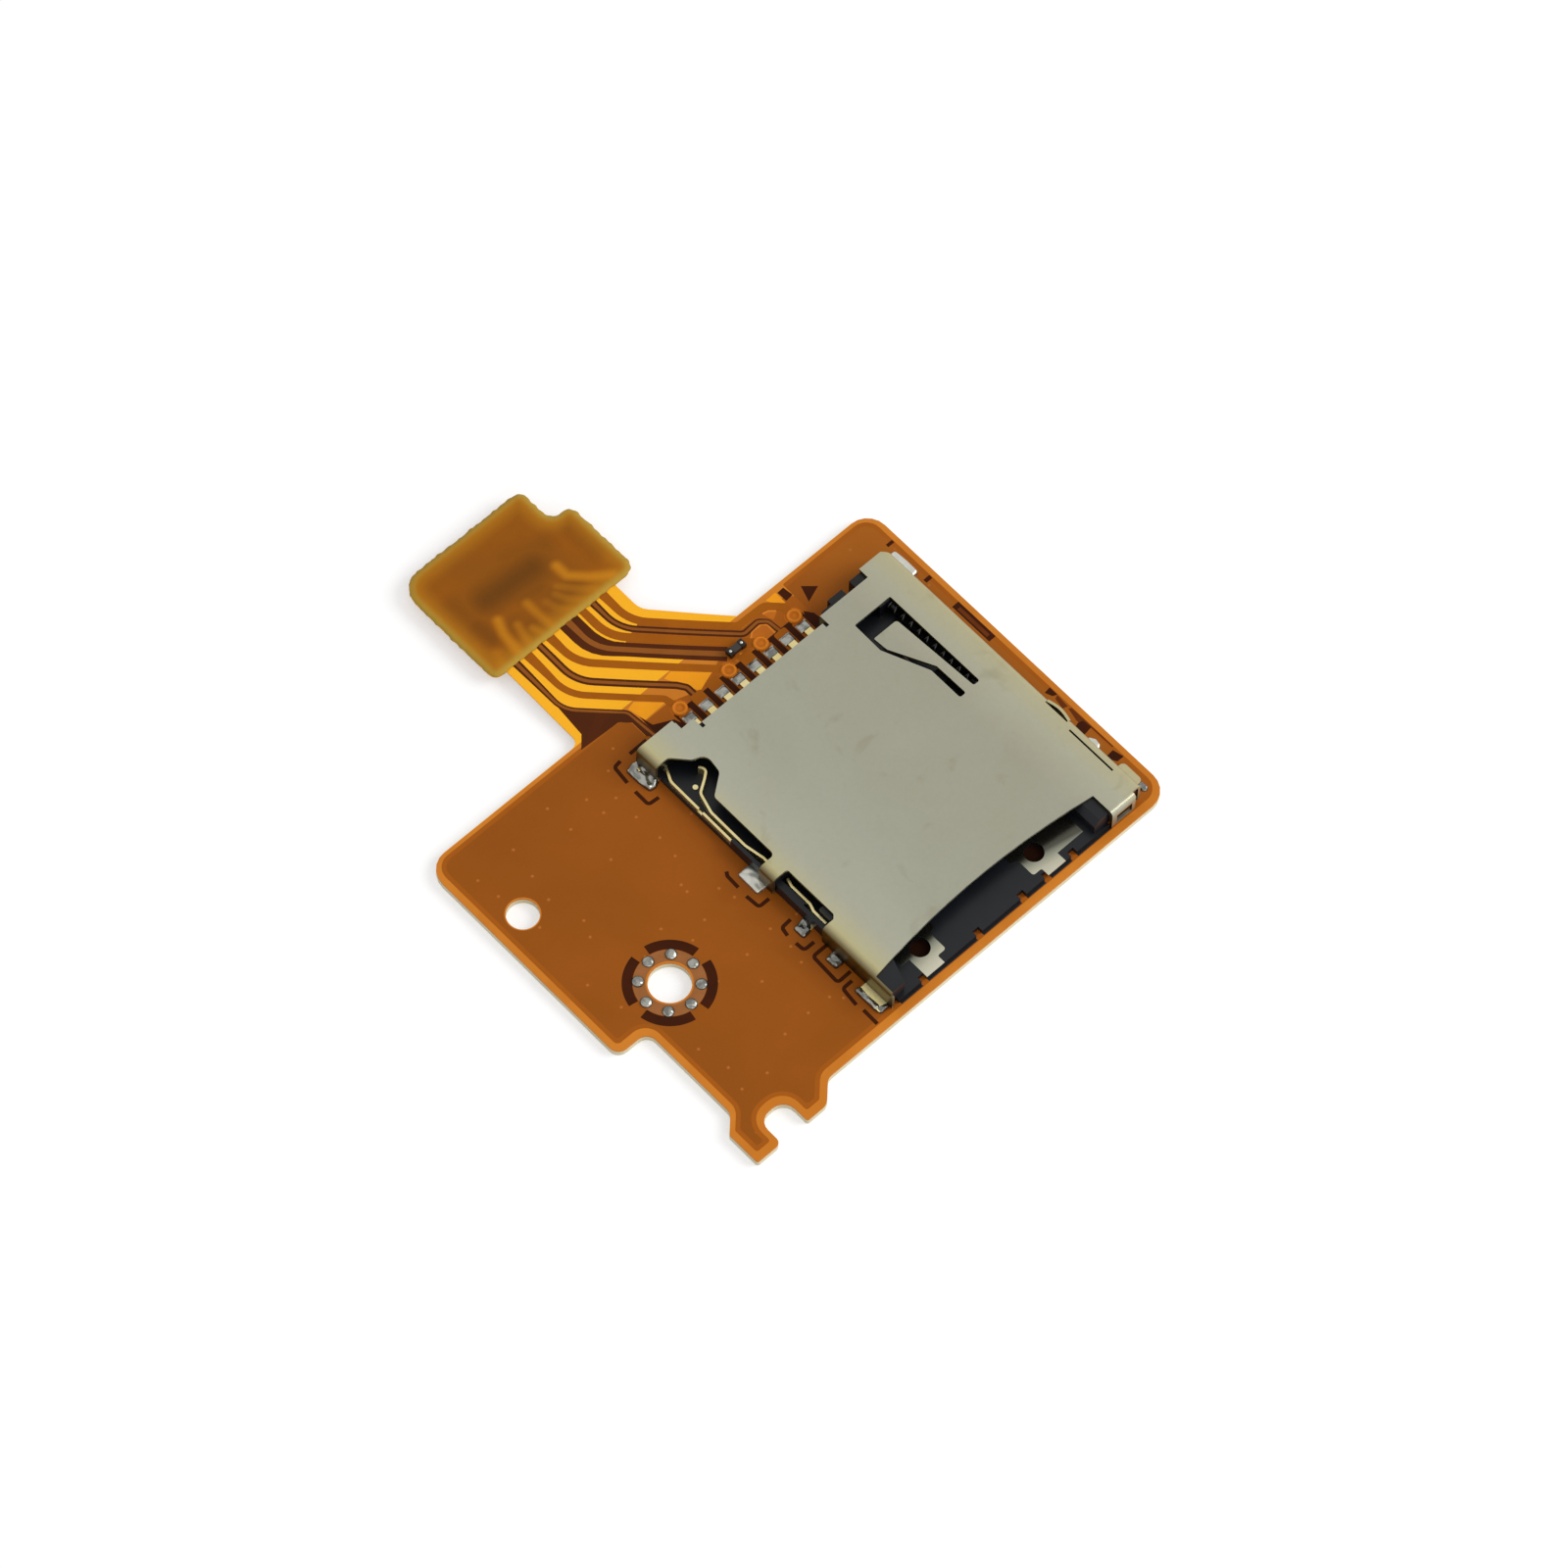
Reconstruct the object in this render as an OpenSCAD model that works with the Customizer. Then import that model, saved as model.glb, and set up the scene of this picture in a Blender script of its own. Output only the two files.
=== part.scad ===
// Push-push memory card socket soldered to a small stiffened flexible board.
// X runs along the contact row, Y is the way the card goes in and Z is up.
// The origin is the middle of the contact row, on the underside of the stiffener.

/* [Board] */
// Width of the stiffened board, along the contact row
board_w = 29.95; // [29.5:0.05:34]
// Depth of the stiffened board, along the card's travel
board_d = 21.8; // [21.5:0.05:26]
// Contact row to the board's right edge
row_to_right = 10.87; // [10.6:0.01:13]
// Contact row to the board's back edge
row_to_back = 3; // [2.6:0.05:5]
// Thickness of the flexible film
flex_t = 0.12; // [0.08:0.01:0.2]
// Thickness of the stiffener under the film
stiff_t = 0.35; // [0.2:0.01:0.5]
// Radius of the board's outer corners
corner_r = 1.2; // [0.6:0.1:2]

/* [Board edge] */
// Length of the left edge, from the back edge to the leg
left_edge_l = 14; // [10:0.1:17]
// Step from the left edge in to the leg
leg_inset = 1.95; // [1.2:0.05:2.6]
// Reach of the hook past the front edge
hook_reach = 1; // [0.6:0.05:2]
// Step from the leg out to the hook's tip
hook_out = 0.85; // [0.4:0.05:1.4]
// Width of the hook's tip
hook_tip_w = 1.55; // [1.2:0.05:2.4]
// Width of the slot beside the tip
hook_slot_w = 1.75; // [1.4:0.05:2.6]
// Depth of the slot beside the tip
hook_slot_d = 1.65; // [1:0.05:3]
// Width of the lobe on the slot's other side
lobe_w = 1.3; // [0.9:0.05:2]

/* [Holes] */
// Diameter of the screw hole
screw_d = 2.2; // [1.6:0.05:2.6]
// Screw hole to the board's left edge
screw_from_left = 4.53; // [3.6:0.01:6]
// Screw hole to the board's back edge
screw_from_back = 12.81; // [9:0.01:16]
// Diameter of the locating hole
locate_d = 1.7; // [1.2:0.05:2]
// Locating hole to the board's left edge
locate_from_left = 1.78; // [1.4:0.01:3]
// Locating hole to the board's back edge
locate_from_back = 5.15; // [3:0.01:7]
// Distance of the solder bumps from the screw hole's axis
bump_ring_r = 1.56; // [1.45:0.01:1.9]

/* [Tail and plug] */
// Contact row to the tail's left edge
row_to_tail = 8.87; // [8:0.01:10]
// Width of the tail
tail_w = 7.32; // [5:0.01:9]
// Length of the tail from the board to the tab
tail_l = 5.4; // [4:0.05:9]
// How far the tail's root flares to the right
tail_flare = 3.35; // [1:0.05:4]
// Width of the tab
tab_w = 9.45; // [8.4:0.05:12]
// Depth of the tab
tab_d = 7.2; // [5.6:0.05:10]
// Width of the notch in the tab's corner
tab_notch_w = 1.3; // [0.8:0.05:2]
// Depth of the notch in the tab's corner
tab_notch_d = 2.35; // [1.4:0.05:3]
// Thickness of the film that stiffens the tab
tab_film_t = 0.15; // [0.08:0.01:0.3]
// Height of the plug under the tab
plug_h = 0.55; // [0.5:0.01:0.9]
// Length of the plug's housing
plug_w = 5.6; // [5:0.05:7]
// Width of the plug's housing
plug_d = 2; // [1.6:0.05:2.6]
// Contacts along each side of the plug
plug_ways = 10; // [4:1:10]
// Pitch of the plug's contacts
plug_pitch = 0.4; // [0.35:0.01:0.45]

/* [Socket shell] */
// Width of the shell, outside
shell_w = 17; // [16.6:0.02:18]
// Depth of the shell, from its back tabs to its front lip
shell_d = 18.3; // [17.8:0.05:19.5]
// Height of the shell above the board
shell_h = 1.45; // [1.35:0.01:1.9]
// Thickness of the sheet
sheet_t = 0.15; // [0.1:0.01:0.18]
// Outside radius of the folds
bend_r = 0.3; // [0.2:0.01:0.35]
// Share of the room beside the card that the switch side takes
switch_share = 0.257; // [0.25:0.001:0.28]
// Contact row to the shell's back tabs
row_to_shell_back = 0.25; // [0.1:0.01:0.5]
// Depth of the curve of the mouth's edge
mouth_sag = 0.6; // [0.3:0.05:1.2]
// Reach of the solder tabs from the walls
tab_reach = 0.62; // [0.4:0.02:0.75]

/* [Card path and contacts] */
// Width of the card
card_w = 11; // [10.9:0.05:11.2]
// Side play of the card
card_gap = 0.08; // [0.04:0.01:0.12]
// Offset of the card's middle from the contact row
card_offset = -0.47; // [-0.55:0.01:-0.4]
// Thickness of the base's floor
floor_t = 0.3; // [0.26:0.01:0.4]
// Pitch of the contacts
contact_pitch = 1.1; // [1:0.01:1.15]
// Width of a contact
contact_w = 0.42; // [0.3:0.01:0.5]
// Thickness of the contact strip
contact_t = 0.1; // [0.06:0.01:0.12]
// Height of the contact points above the floor
contact_rise = 0.3; // [0.15:0.01:0.4]
// Length of a contact's free beam
beam_l = 4.1; // [3.6:0.05:4.6]

/* [Ejector] */
// Travel of the slider
slide_travel = 2.6; // [1.8:0.05:2.7]
// Diameter of the cam pin's wire
pin_d = 0.26; // [0.2:0.01:0.3]
// Distance between the two lanes of the cam, as a share of the slider's width
lane_share = 0.235; // [0.22:0.005:0.25]
// Play of the pin in a lane
lane_play = 0.08; // [0.05:0.01:0.1]
// Length of the pin between its two legs
pin_l = 4; // [3.8:0.05:4.4]
// Turns of the spring
spring_turns = 12; // [8:1:14]
// Diameter of the spring's wire
spring_wire = 0.12; // [0.08:0.01:0.14]

/* [Hidden] */
$fn = 48;
arc_step = 18;
cut = 1;

film_color = "#94521a";
cream_color = "#e1d7b4";
olive_color = "#7f551c";
black_color = "#22252b";
nickel_color = "#b4b09c";
gold_color = "#d8c88a";
solder_color = "#b8bcbc";
spring_color = "#8c8c88";
chip_color = "#b39b80";

// Board
deck = stiff_t + flex_t;
board_x1 = row_to_right;
board_x0 = board_x1 - board_w;
board_y1 = row_to_back;
board_y0 = board_y1 - board_d;
leg_x = board_x0 + leg_inset;
leg_y = board_y1 - left_edge_l;
hook_y = board_y0 - hook_reach;
hook_x = leg_x - hook_out;
slot_left = hook_x + hook_tip_w;
slot_right = slot_left + hook_slot_w;
lobe_x = slot_right + lobe_w;
slot_y = hook_y + hook_slot_d;
tip_l = 2;
tip_r = 0.15;
inner_r = 0.6;
slot_r = min(0.75, hook_slot_w * 0.43, hook_slot_d * 0.45);
board_outline = [
    [board_x1, board_y1, corner_r],
    [board_x0, board_y1, corner_r],
    [board_x0, leg_y, inner_r],
    [leg_x, leg_y, inner_r],
    [leg_x, hook_y + tip_l + hook_out, inner_r],
    [hook_x, hook_y + tip_l, tip_r],
    [hook_x, hook_y, tip_r],
    [slot_left, hook_y, 2 * tip_r],
    [slot_left, slot_y, slot_r],
    [slot_right, slot_y, slot_r],
    [slot_right, hook_y, tip_r],
    [lobe_x, hook_y, inner_r],
    [lobe_x + hook_reach, board_y0, inner_r],
    [board_x1, board_y0, corner_r]
];
screw_x = board_x0 + screw_from_left;
screw_y = board_y1 - screw_from_back;
locate_x = board_x0 + locate_from_left;
locate_y = board_y1 - locate_from_back;
bump_count = 8;
bump_r = 0.25;
bump_h = 0.11;

// Tail, tab and plug
lift = plug_h - stiff_t;
tail_x0 = -row_to_tail;
tail_x1 = tail_x0 + tail_w;
tail_y1 = board_y1 + tail_l;
tab_overhang = 0.76;
tab_x0 = tail_x0 - tab_overhang;
tab_x1 = tab_x0 + tab_w;
tab_y1 = tail_y1 + tab_d;
tab_r = 0.5;
tab_back_r = 1.3;
root_r = 0.5;
tab_outline = [
    [tab_x0, tail_y1, tab_r],
    [tab_x1, tail_y1, tab_r + 0.15],
    [tab_x1, tab_y1 - tab_notch_d, tab_r],
    [tab_x1 - tab_notch_w, tab_y1 - tab_notch_d, tab_r],
    [tab_x1 - tab_notch_w, tab_y1, tab_r],
    [tab_x0, tab_y1, tab_back_r]
];
tail_steps = 10;
plug_x = (tab_x0 + tab_x1) / 2;
plug_y = tail_y1 + tab_d / 2;
plug_wall = 0.4;
plug_roof = 0.2;
plug_lead_t = 0.08;
plug_lead_w = 0.18;
plug_foot = 0.35;
anchor_w = 0.9;

// Shell, measured up from the board's top
slot_x0 = card_offset - card_w / 2 - card_gap;
slot_x1 = card_offset + card_w / 2 + card_gap;
shell_x0 = slot_x0 - switch_share * (shell_w - (slot_x1 - slot_x0));
shell_x1 = shell_x0 + shell_w;
shell_y1 = row_to_shell_back;
shell_y0 = shell_y1 - shell_d;
roof = shell_h - sheet_t;
in_x0 = shell_x0 + sheet_t;
in_x1 = shell_x1 - sheet_t;
wall_z = 0.05;
lead_clear = 0.05;
lip_w = 2.17;
lip_x = shell_x1 - lip_w;
mouth_set = 1.15;
mouth_y = shell_y0 + mouth_set;
mouth_chord = lip_x - shell_x0;
mouth_arc_r = (mouth_chord * mouth_chord / 4 + mouth_sag * mouth_sag) / (2 * mouth_sag);
lip_window = [0.33, 1.37, 0.2, 0.9];
lip_slit = 0.57;
tail_gap_x = (contact_pitch * 7 + contact_w) / 2 + 0.14;
tail_gap_y = shell_y1 - 1.04;
back_step = 0.4;
left_tab_x = shell_x0 + 2.4;
right_tab_x = shell_x1 - 1.87;
back_slit_w = 0.2;
back_slit_l = 0.28;
// Places along the shell are shares of its depth, counted from its back tabs
detect_y1 = along(0.0765);
detect_y0 = along(0.4863);
skin_y = along(0.363);
lock_y1 = along(0.542);
lock_y0 = along(0.735);
side_slit_y = [along(0.918), along(0.749)];
bulge_y = [along(0.727), along(0.642)];
bulge_out = 0.14;
bulge_z = shell_h / 2;
slit_w = 0.1;
slit_in = 0.37;
back_corner = 0.4;
back_tab_y = [shell_y1 - 1.25, shell_y1];
left_tab_y = [shell_y1 - 0.85, shell_y1 - 0.05];
front_tab_y = [shell_y0 + 0.1, shell_y0 + 1.7];
curl_w = 0.42;
curl_h = 1.15;
lip_out = 0.27;
flange_y = [shell_y0 + 0.55, shell_y0 + 1.95];
flange_reach = tab_reach + 0.16;
flange_r = 0.25;

// Base, floor and card slot
seat_gap = 0.06;
base_x0 = in_x0 + seat_gap;
base_x1 = in_x1 - seat_gap;
base_y0 = shell_y0 - 0.15;
base_y1 = shell_y1 - 0.6;
base_top = roof - 0.04;
back_wall = 1.05;
back_y = base_y1 - back_wall;
beam_room = 0.2;
beam_peak = 0.756;
run_gap = 0.04;
lug_x = [tail_gap_x + 1.05, tail_gap_x + 2];
lug_l = 0.42;
heel_w = 0.65;
heel_l = 0.15;
post_x = [tail_gap_x + 2.6, tail_gap_x + 3.4];
post_l = 0.5;

// Ejector
slider_x0 = slot_x1 + 0.1;
slider_x1 = in_x1 - 0.25;
slider_y1 = along(0.3607);
slider_y0 = along(0.866);
slider_z0 = floor_t + run_gap;
pin_z = roof - run_gap - pin_d / 2;
cam_top = pin_z - pin_d / 2 - run_gap;
tall_top = roof - 2 * run_gap;
slider_w = slider_x1 - slider_x0;
tall_x = slider_x0 + 0.47 * slider_w;
lane_w = pin_d + 2 * lane_play;
lane_gap = lane_share * slider_w;
lane_a = slider_x0 + 0.117 * slider_w;
lane_b = lane_a + lane_gap;
pivot_x = (lane_a + lane_b) / 2;
pivot_y = slider_y1 + slide_travel + 0.35;
follow_y = pivot_y - sqrt(pin_l * pin_l - lane_gap * lane_gap / 4);
groove_z = cam_top - 0.32;
pin_hole_play = 0.03;
island_w = lane_gap - lane_w;
island_y1 = follow_y - lane_w / 2 - 0.12;
island_y0 = follow_y - slide_travel + lane_w / 2 + 0.12;
heart = [
    [pivot_x, island_y1],
    [pivot_x - island_w / 2, island_y1 - 0.6],
    [pivot_x - island_w / 2, island_y0 + 0.12],
    [pivot_x - island_w / 4, island_y0],
    [pivot_x, island_y0 + 0.2],
    [pivot_x + island_w / 4, island_y0],
    [pivot_x + island_w / 2, island_y0 + 0.12],
    [pivot_x + island_w / 2, island_y1 - 0.6]
];
arm_w = 0.4;
catch_y = slider_y1 + 0.635 * slide_travel;
catch_l = 0.6;
catch_x = slot_x1 - 0.75;
spring_x = tall_x + 0.162 * slider_w;
spring_z = (floor_t + roof) / 2;
spring_r = (roof - floor_t) / 2 - 0.14;
spring_y1 = along(0.123);
spring_bay = 2.1;
spring_play = 0.08;
spring_y0 = slider_y1 - spring_bay;
spigot_l = 0.5;
spigot_r = spring_r - spring_wire - 0.04;
bay_y = spring_y1;
stop_y = slider_y0 - 0.1;
stop_x = slider_x0 + 1.1;
stop_slope = 0.35;
leaf_slot = [
    [pivot_x - 0.9, shell_y1 - 2.19, 0.1], [pivot_x + 1.53, shell_y1 - 2.19, 0.08],
    [pivot_x + 1.53, shell_y1 - 8.68, 0.12], [pivot_x + 1.13, shell_y1 - 8.68, 0.12],
    [pivot_x + 0.84, shell_y1 - 3.4, 0.18], [pivot_x - 0.72, shell_y1 - 3.4, 0.06],
    [pivot_x - 0.66, shell_y1 - 4.28, 0.15], [pivot_x + 0.52, shell_y1 - 6.66, 0.2],
    [pivot_x + 0.55, shell_y1 - 8.72, 0.12], [pivot_x + 0.15, shell_y1 - 8.72, 0.12],
    [pivot_x + 0.15, shell_y1 - 6.64, 0.2], [pivot_x - 0.93, shell_y1 - 4.1, 0.15]
];

// Card detect switch and lock leaf, standing strips seen from above
leaf_t = 0.13;
leaf_z1 = 0.85;
fixed_z1 = 0.62;
side_room = slot_x0 - in_x0;
lever_x = slot_x0 - 0.556 * side_room;
lever_y = detect_y0 - 0.6;
lever_path = [
    [lever_x, lever_y, 0], [lever_x, detect_y0 + 0.45, 0.4],
    [in_x0 + 0.4, detect_y0 + 1.55, 0.5], [in_x0 + 0.42, detect_y1 - 3.45, 0.5],
    [slot_x0 - 0.6, detect_y1 - 2.3, 0.35], [slot_x0 + 0.1, detect_y1 - 1.85, 0.3],
    [slot_x0 + 0.55, detect_y1 - 1.5, 0.25], [slot_x0 + 0.32, detect_y1 - 1.15, 0]
];
fixed_path = [
    [slot_x0 - 0.72, detect_y1 + 0.12, 0], [in_x0 + 0.2, detect_y1 - 0.75, 0.5],
    [in_x0 + 0.16, skin_y - 0.15, 0]
];
fixed_gap_y = [detect_y1 - 3.1, detect_y1 - 2.8];
fixed_low_z = 0.4;
boss_r = 0.14;
boss_pos = [slot_x0 - 0.38, detect_y1 - 1.7];
lock_x = slot_x0 - 0.593 * side_room;
lock_jog = 0.111 * side_room;
lock_path = [
    [lock_x - lock_jog, lock_y0 + 0.3, 0], [lock_x - lock_jog, lock_y0 + 1.2, 0.3],
    [lock_x, lock_y0 + 1.6, 0.3], [lock_x, lock_y1 - 0.6, 0.4], [lock_x + lock_jog, lock_y1 - 0.15, 0]
];
lever_foot = [detect_y0 - 0.5, detect_y0 + 0.45];
fixed_foot = [detect_y1 - 0.1, detect_y1 + 0.3];
lock_foot = [lock_y0 + 0.8, lock_y0 + 1.3];
foot_x0 = shell_x0 - 0.5;
foot_x1 = shell_x1 + 0.38;

// Ground plates in the floor
plate_t = 0.1;
pilot_r = 0.53;
pilot_x = 3.87;
pilot_y = base_y0 + 1.4;
lead_y = [along(0.798) - 0.25, along(0.798) + 0.25];
plate_tab = [0.34, 0.84];
plate_shoulder = 0.9;
plate_step = 0.5;
plate_neck = 0.4;
plate_back = pilot_y + 1.2;
inner_wing = [1.3, pilot_y + 0.35, 0.35];
left_wing = [1.4, pilot_y - 0.12];
right_wing = [2.6, pilot_y - 0.8];
notch_w = 0.4;
notch_d = 0.3;
notch_x = [-5.35, -1.65, 1.35, 3, 4.8];

// Solder
fillet_w = 0.28;
fillet_h = 0.13;
tail_end = 0.42;

// Chip beside the tail's root
chip_x = 0.44;
chip_y = 1.6;
chip_l = 0.5;
chip_w = 0.36;
chip_h = 0.3;
chip_end = 0.27;
chip_swell = 0.04;

function along(share) = shell_y1 - share * shell_d;
function unit(v) = v / norm(v);
function flat(p) = [p[0], p[1]];

// Points of the arc that rounds corner b of the path a, b, c
function corner_arc(a, b, c, r) =
    r <= 0 ? [b] :
    let (
        u = unit(a - b),
        v = unit(c - b),
        half = acos(u * v) / 2,
        mid = b + unit(u + v) * r / sin(half),
        p = b + u * r / tan(half) - mid,
        q = b + v * r / tan(half) - mid,
        start = atan2(p[1], p[0]),
        turn = atan2(cross(p, q), p * q),
        n = max(2, ceil(abs(turn) / arc_step))
    )
    [for (k = [0:n]) mid + r * [cos(start + turn * k / n), sin(start + turn * k / n)]];

// Closed outline with each corner rounded by its own third number
function rounded(pts) =
    let (n = len(pts))
    [for (i = [0:n - 1])
        each corner_arc(flat(pts[(i + n - 1) % n]), flat(pts[i]), flat(pts[(i + 1) % n]), pts[i][2])];

// Open line with each inner corner rounded by its own third number
function rounded_line(pts) =
    let (n = len(pts))
    concat(
        [flat(pts[0])],
        [for (i = [1:n - 2]) each corner_arc(flat(pts[i - 1]), flat(pts[i]), flat(pts[i + 1]), pts[i][2])],
        [flat(pts[n - 1])]
    );

// Point i of a line, moved sideways by h
function beside(line, i, h) =
    let (
        n = len(line),
        j = max(i, 1),
        k = min(i + 1, n - 1),
        into = unit(line[j] - line[j - 1]),
        away = unit(line[k] - line[k - 1]),
        m = unit(into + away)
    )
    line[i] + [-m[1], m[0]] * h / (m * into);

// Outline of a strip of thickness t that follows a line
function strip(line, t) =
    let (n = len(line))
    concat(
        [for (i = [0:n - 1]) beside(line, i, t / 2)],
        [for (i = [n - 1:-1:0]) beside(line, i, -t / 2)]
    );

module slab(pts, z0, z1) {
    translate([0, 0, z0])
        linear_extrude(z1 - z0)
            polygon(pts);
}

module block(x, y, z) {
    translate([x[0], y[0], z[0]])
        cube([x[1] - x[0], y[1] - y[0], z[1] - z[0]]);
}

// Profile drawn in Y and Z, drawn out along X
module bar(pts, x0, x1) {
    translate([x0, 0, 0])
        rotate([90, 0, 90])
            linear_extrude(x1 - x0)
                polygon(pts);
}

module on_board() {
    translate([0, 0, deck])
        children();
}

module board_holes() {
    translate([screw_x, screw_y, -cut])
        cylinder(d = screw_d, h = deck + 2 * cut);
    translate([locate_x, locate_y, -cut])
        cylinder(d = locate_d, h = deck + 2 * cut);
}

// Height of the film's underside along the tail
function tail_z(y) = stiff_t + lift * (1 - cos(180 * (y - board_y1) / tail_l)) / 2;
function tail_side(raise) =
    [for (k = [0:tail_steps]) let (y = board_y1 + tail_l * k / tail_steps) [y, tail_z(y) + raise]];
function reversed(list) = [for (i = [len(list) - 1:-1:0]) list[i]];

// Tail seen from above, with a small fillet at its left root and a flare at its right one
function tail_outline() =
    let (
        bend_y = board_y1 + min(tail_flare, tail_l - 1) + 0.2,
        left = [tail_x0, board_y1],
        flare = [tail_x1 + tail_flare, board_y1],
        bend = [tail_x1, bend_y],
        end = [tail_x1, tail_y1]
    )
    concat(
        [flare],
        corner_arc(flare, bend, end, 2 * root_r),
        [end, [tail_x0, tail_y1]],
        corner_arc([tail_x0, tail_y1], left, left - [2 * root_r, 0], root_r)
    );

module flex_board() {
    color(film_color)
        difference() {
            union() {
                slab(rounded(board_outline), stiff_t, deck);
                intersection() {
                    bar(concat(tail_side(0), reversed(tail_side(flex_t))), tail_x0 - cut, tail_x1 + tail_flare + cut);
                    slab(tail_outline(), -cut, deck + lift + cut);
                }
                slab(rounded(tab_outline), stiff_t + lift, deck + lift);
            }
            board_holes();
        }
}

module board_stiffener() {
    color(cream_color)
        difference() {
            slab(rounded(board_outline), 0, stiff_t);
            board_holes();
        }
}

module tab_film() {
    color(olive_color)
        slab(rounded(tab_outline), deck + lift, deck + lift + tab_film_t);
}

module plug_housing() {
    half_w = plug_w / 2;
    half_d = plug_d / 2;
    color(black_color)
        translate([plug_x, plug_y, 0])
            difference() {
                slab(rounded([
                    [-half_w, -half_d, 0.15], [half_w, -half_d, 0.15],
                    [half_w, half_d, 0.15], [-half_w, half_d, 0.15]
                ]), 0, plug_h);
                block([plug_wall - half_w, half_w - plug_wall], [plug_wall - half_d, half_d - plug_wall],
                    [-cut, plug_h - plug_roof]);
            }
}

module plug_contacts() {
    color(gold_color)
        for (side = [-1, 1], i = [0:plug_ways - 1])
            translate([plug_x + plug_pitch * (i - (plug_ways - 1) / 2), plug_y + side * plug_d / 2, 0])
                mirror([0, side < 0 ? 1 : 0, 0])
                    bar([
                        [0, 0.08], [plug_lead_t, 0.08], [plug_lead_t, plug_h - plug_lead_t],
                        [plug_foot, plug_h - plug_lead_t], [plug_foot, plug_h], [0, plug_h]
                    ], -plug_lead_w / 2, plug_lead_w / 2);
}

module plug_anchors() {
    color(gold_color)
        for (side = [-1, 1])
            translate([plug_x + side * plug_w / 2, plug_y, 0])
                rotate([0, 0, -90 * side])
                    bar([
                        [0, 0.15], [plug_lead_t, 0.15], [plug_lead_t, plug_h - plug_lead_t],
                        [plug_foot, plug_h - plug_lead_t], [plug_foot, plug_h], [0, plug_h]
                    ], -anchor_w / 2, anchor_w / 2);
}

// Folded channel of the shell before any cut
module channel() {
    inner_bend = bend_r - sheet_t;
    translate([0, shell_y1, 0])
        rotate([90, 0, 0])
            linear_extrude(shell_d)
                difference() {
                    polygon(rounded([
                        [shell_x0, wall_z, 0], [shell_x1, wall_z, 0],
                        [shell_x1, shell_h, bend_r], [shell_x0, shell_h, bend_r]
                    ]));
                    polygon(rounded([
                        [in_x0, -cut, 0], [in_x1, -cut, 0],
                        [in_x1, roof, inner_bend], [in_x0, roof, inner_bend]
                    ]));
                }
}

// Everything in front of the curved edge of the mouth
module mouth_cut() {
    intersection() {
        block([in_x0, lip_x], [shell_y0 - cut, mouth_y + mouth_sag + cut], [-cut, shell_h + cut]);
        translate([(shell_x0 + lip_x) / 2, mouth_y + mouth_sag - mouth_arc_r, -2 * cut])
            cylinder(r = mouth_arc_r, h = shell_h + 4 * cut, $fn = 180);
    }
}

module shell_cuts() {
    mouth_cut();
    // Steps of the back edge over the contact tails and the base's lugs
    block([-tail_gap_x - 0.9, right_tab_x], [tail_gap_y + back_step, shell_y1 + cut], [-cut, shell_h + cut]);
    block([left_tab_x, -tail_gap_x - 0.9 + cut / 2], [shell_y1 - 0.2, shell_y1 + cut], [-cut, shell_h + cut]);
    block([-tail_gap_x, tail_gap_x], [tail_gap_y, shell_y1 + cut], [-cut, shell_h + cut]);
    for (side = [-1, 1])
        block([side * tail_gap_x - back_slit_w / 2, side * tail_gap_x + back_slit_w / 2],
            [tail_gap_y - back_slit_l, shell_y1 + cut], [-cut, shell_h + cut]);
    // Cut corner of the roof at the back
    slab([
        [shell_x1 - back_corner - cut, shell_y1 + cut], [shell_x1 + cut, shell_y1 + cut],
        [shell_x1 + cut, shell_y1 - back_corner - cut]
    ], 2 * sheet_t, shell_h + cut);
    // Window over the card detect switch
    slab(rounded([
        [shell_x0 - cut, detect_y1, 0], [shell_x0 + 0.85, detect_y1, 0.3],
        [slot_x0 + 0.2, detect_y1 - 0.95, 0.45], [slot_x0 + 0.9, detect_y1 - 0.95, 0.55],
        [slot_x0 + 0.7, detect_y1 - 2.3, 0.4], [shell_x0 + 1.05, detect_y1 - 3.15, 0.25],
        [shell_x0 + 1.05, detect_y0, 0.25], [shell_x0 - cut, detect_y0, 0]
    ]), -cut, shell_h + cut);
    // Window over the lock leaf
    slab(rounded([
        [shell_x0 - cut, lock_y1, 0], [shell_x0 + 0.95, lock_y1, 0.15],
        [shell_x0 + 0.95, lock_y0 + 0.2, 0.15], [shell_x0 + 0.75, lock_y0, 0], [shell_x0 - cut, lock_y0, 0]
    ]), -cut, shell_h + cut);
    // Slot that frees the leaf over the cam pin
    slab(rounded(leaf_slot), roof - cut / 4, shell_h + cut);
    // Slits along the right fold
    block([in_x1 - slit_in, in_x1 - slit_in + slit_w], side_slit_y, [roof - cut / 4, shell_h + cut]);
    slab(concat([[in_x1 - slit_w, bulge_y[1]], [in_x1 - slit_w, bulge_y[0]]], bulge_line()), bulge_z, shell_h + cut);
    // Passages under the walls for the terminals
    for (y = [lever_foot, fixed_foot, lead_y])
        block([shell_x0 - cut, in_x0 + cut / 4], [y[0] - lead_clear, y[1] + lead_clear],
            [-cut, contact_t + lead_clear]);
    block([in_x1 - cut / 4, shell_x1 + cut], [lead_y[0] - lead_clear, lead_y[1] + lead_clear],
        [-cut, contact_t + lead_clear]);
}

// Middle line of the part of the right fold that is pushed outwards
function bulge_line() =
    let (l = bulge_y[1] - bulge_y[0])
    [for (k = [0:8]) [shell_x1 - sheet_t / 2 + bulge_out * sin(22.5 * k), bulge_y[0] + l * k / 8]];

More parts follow.
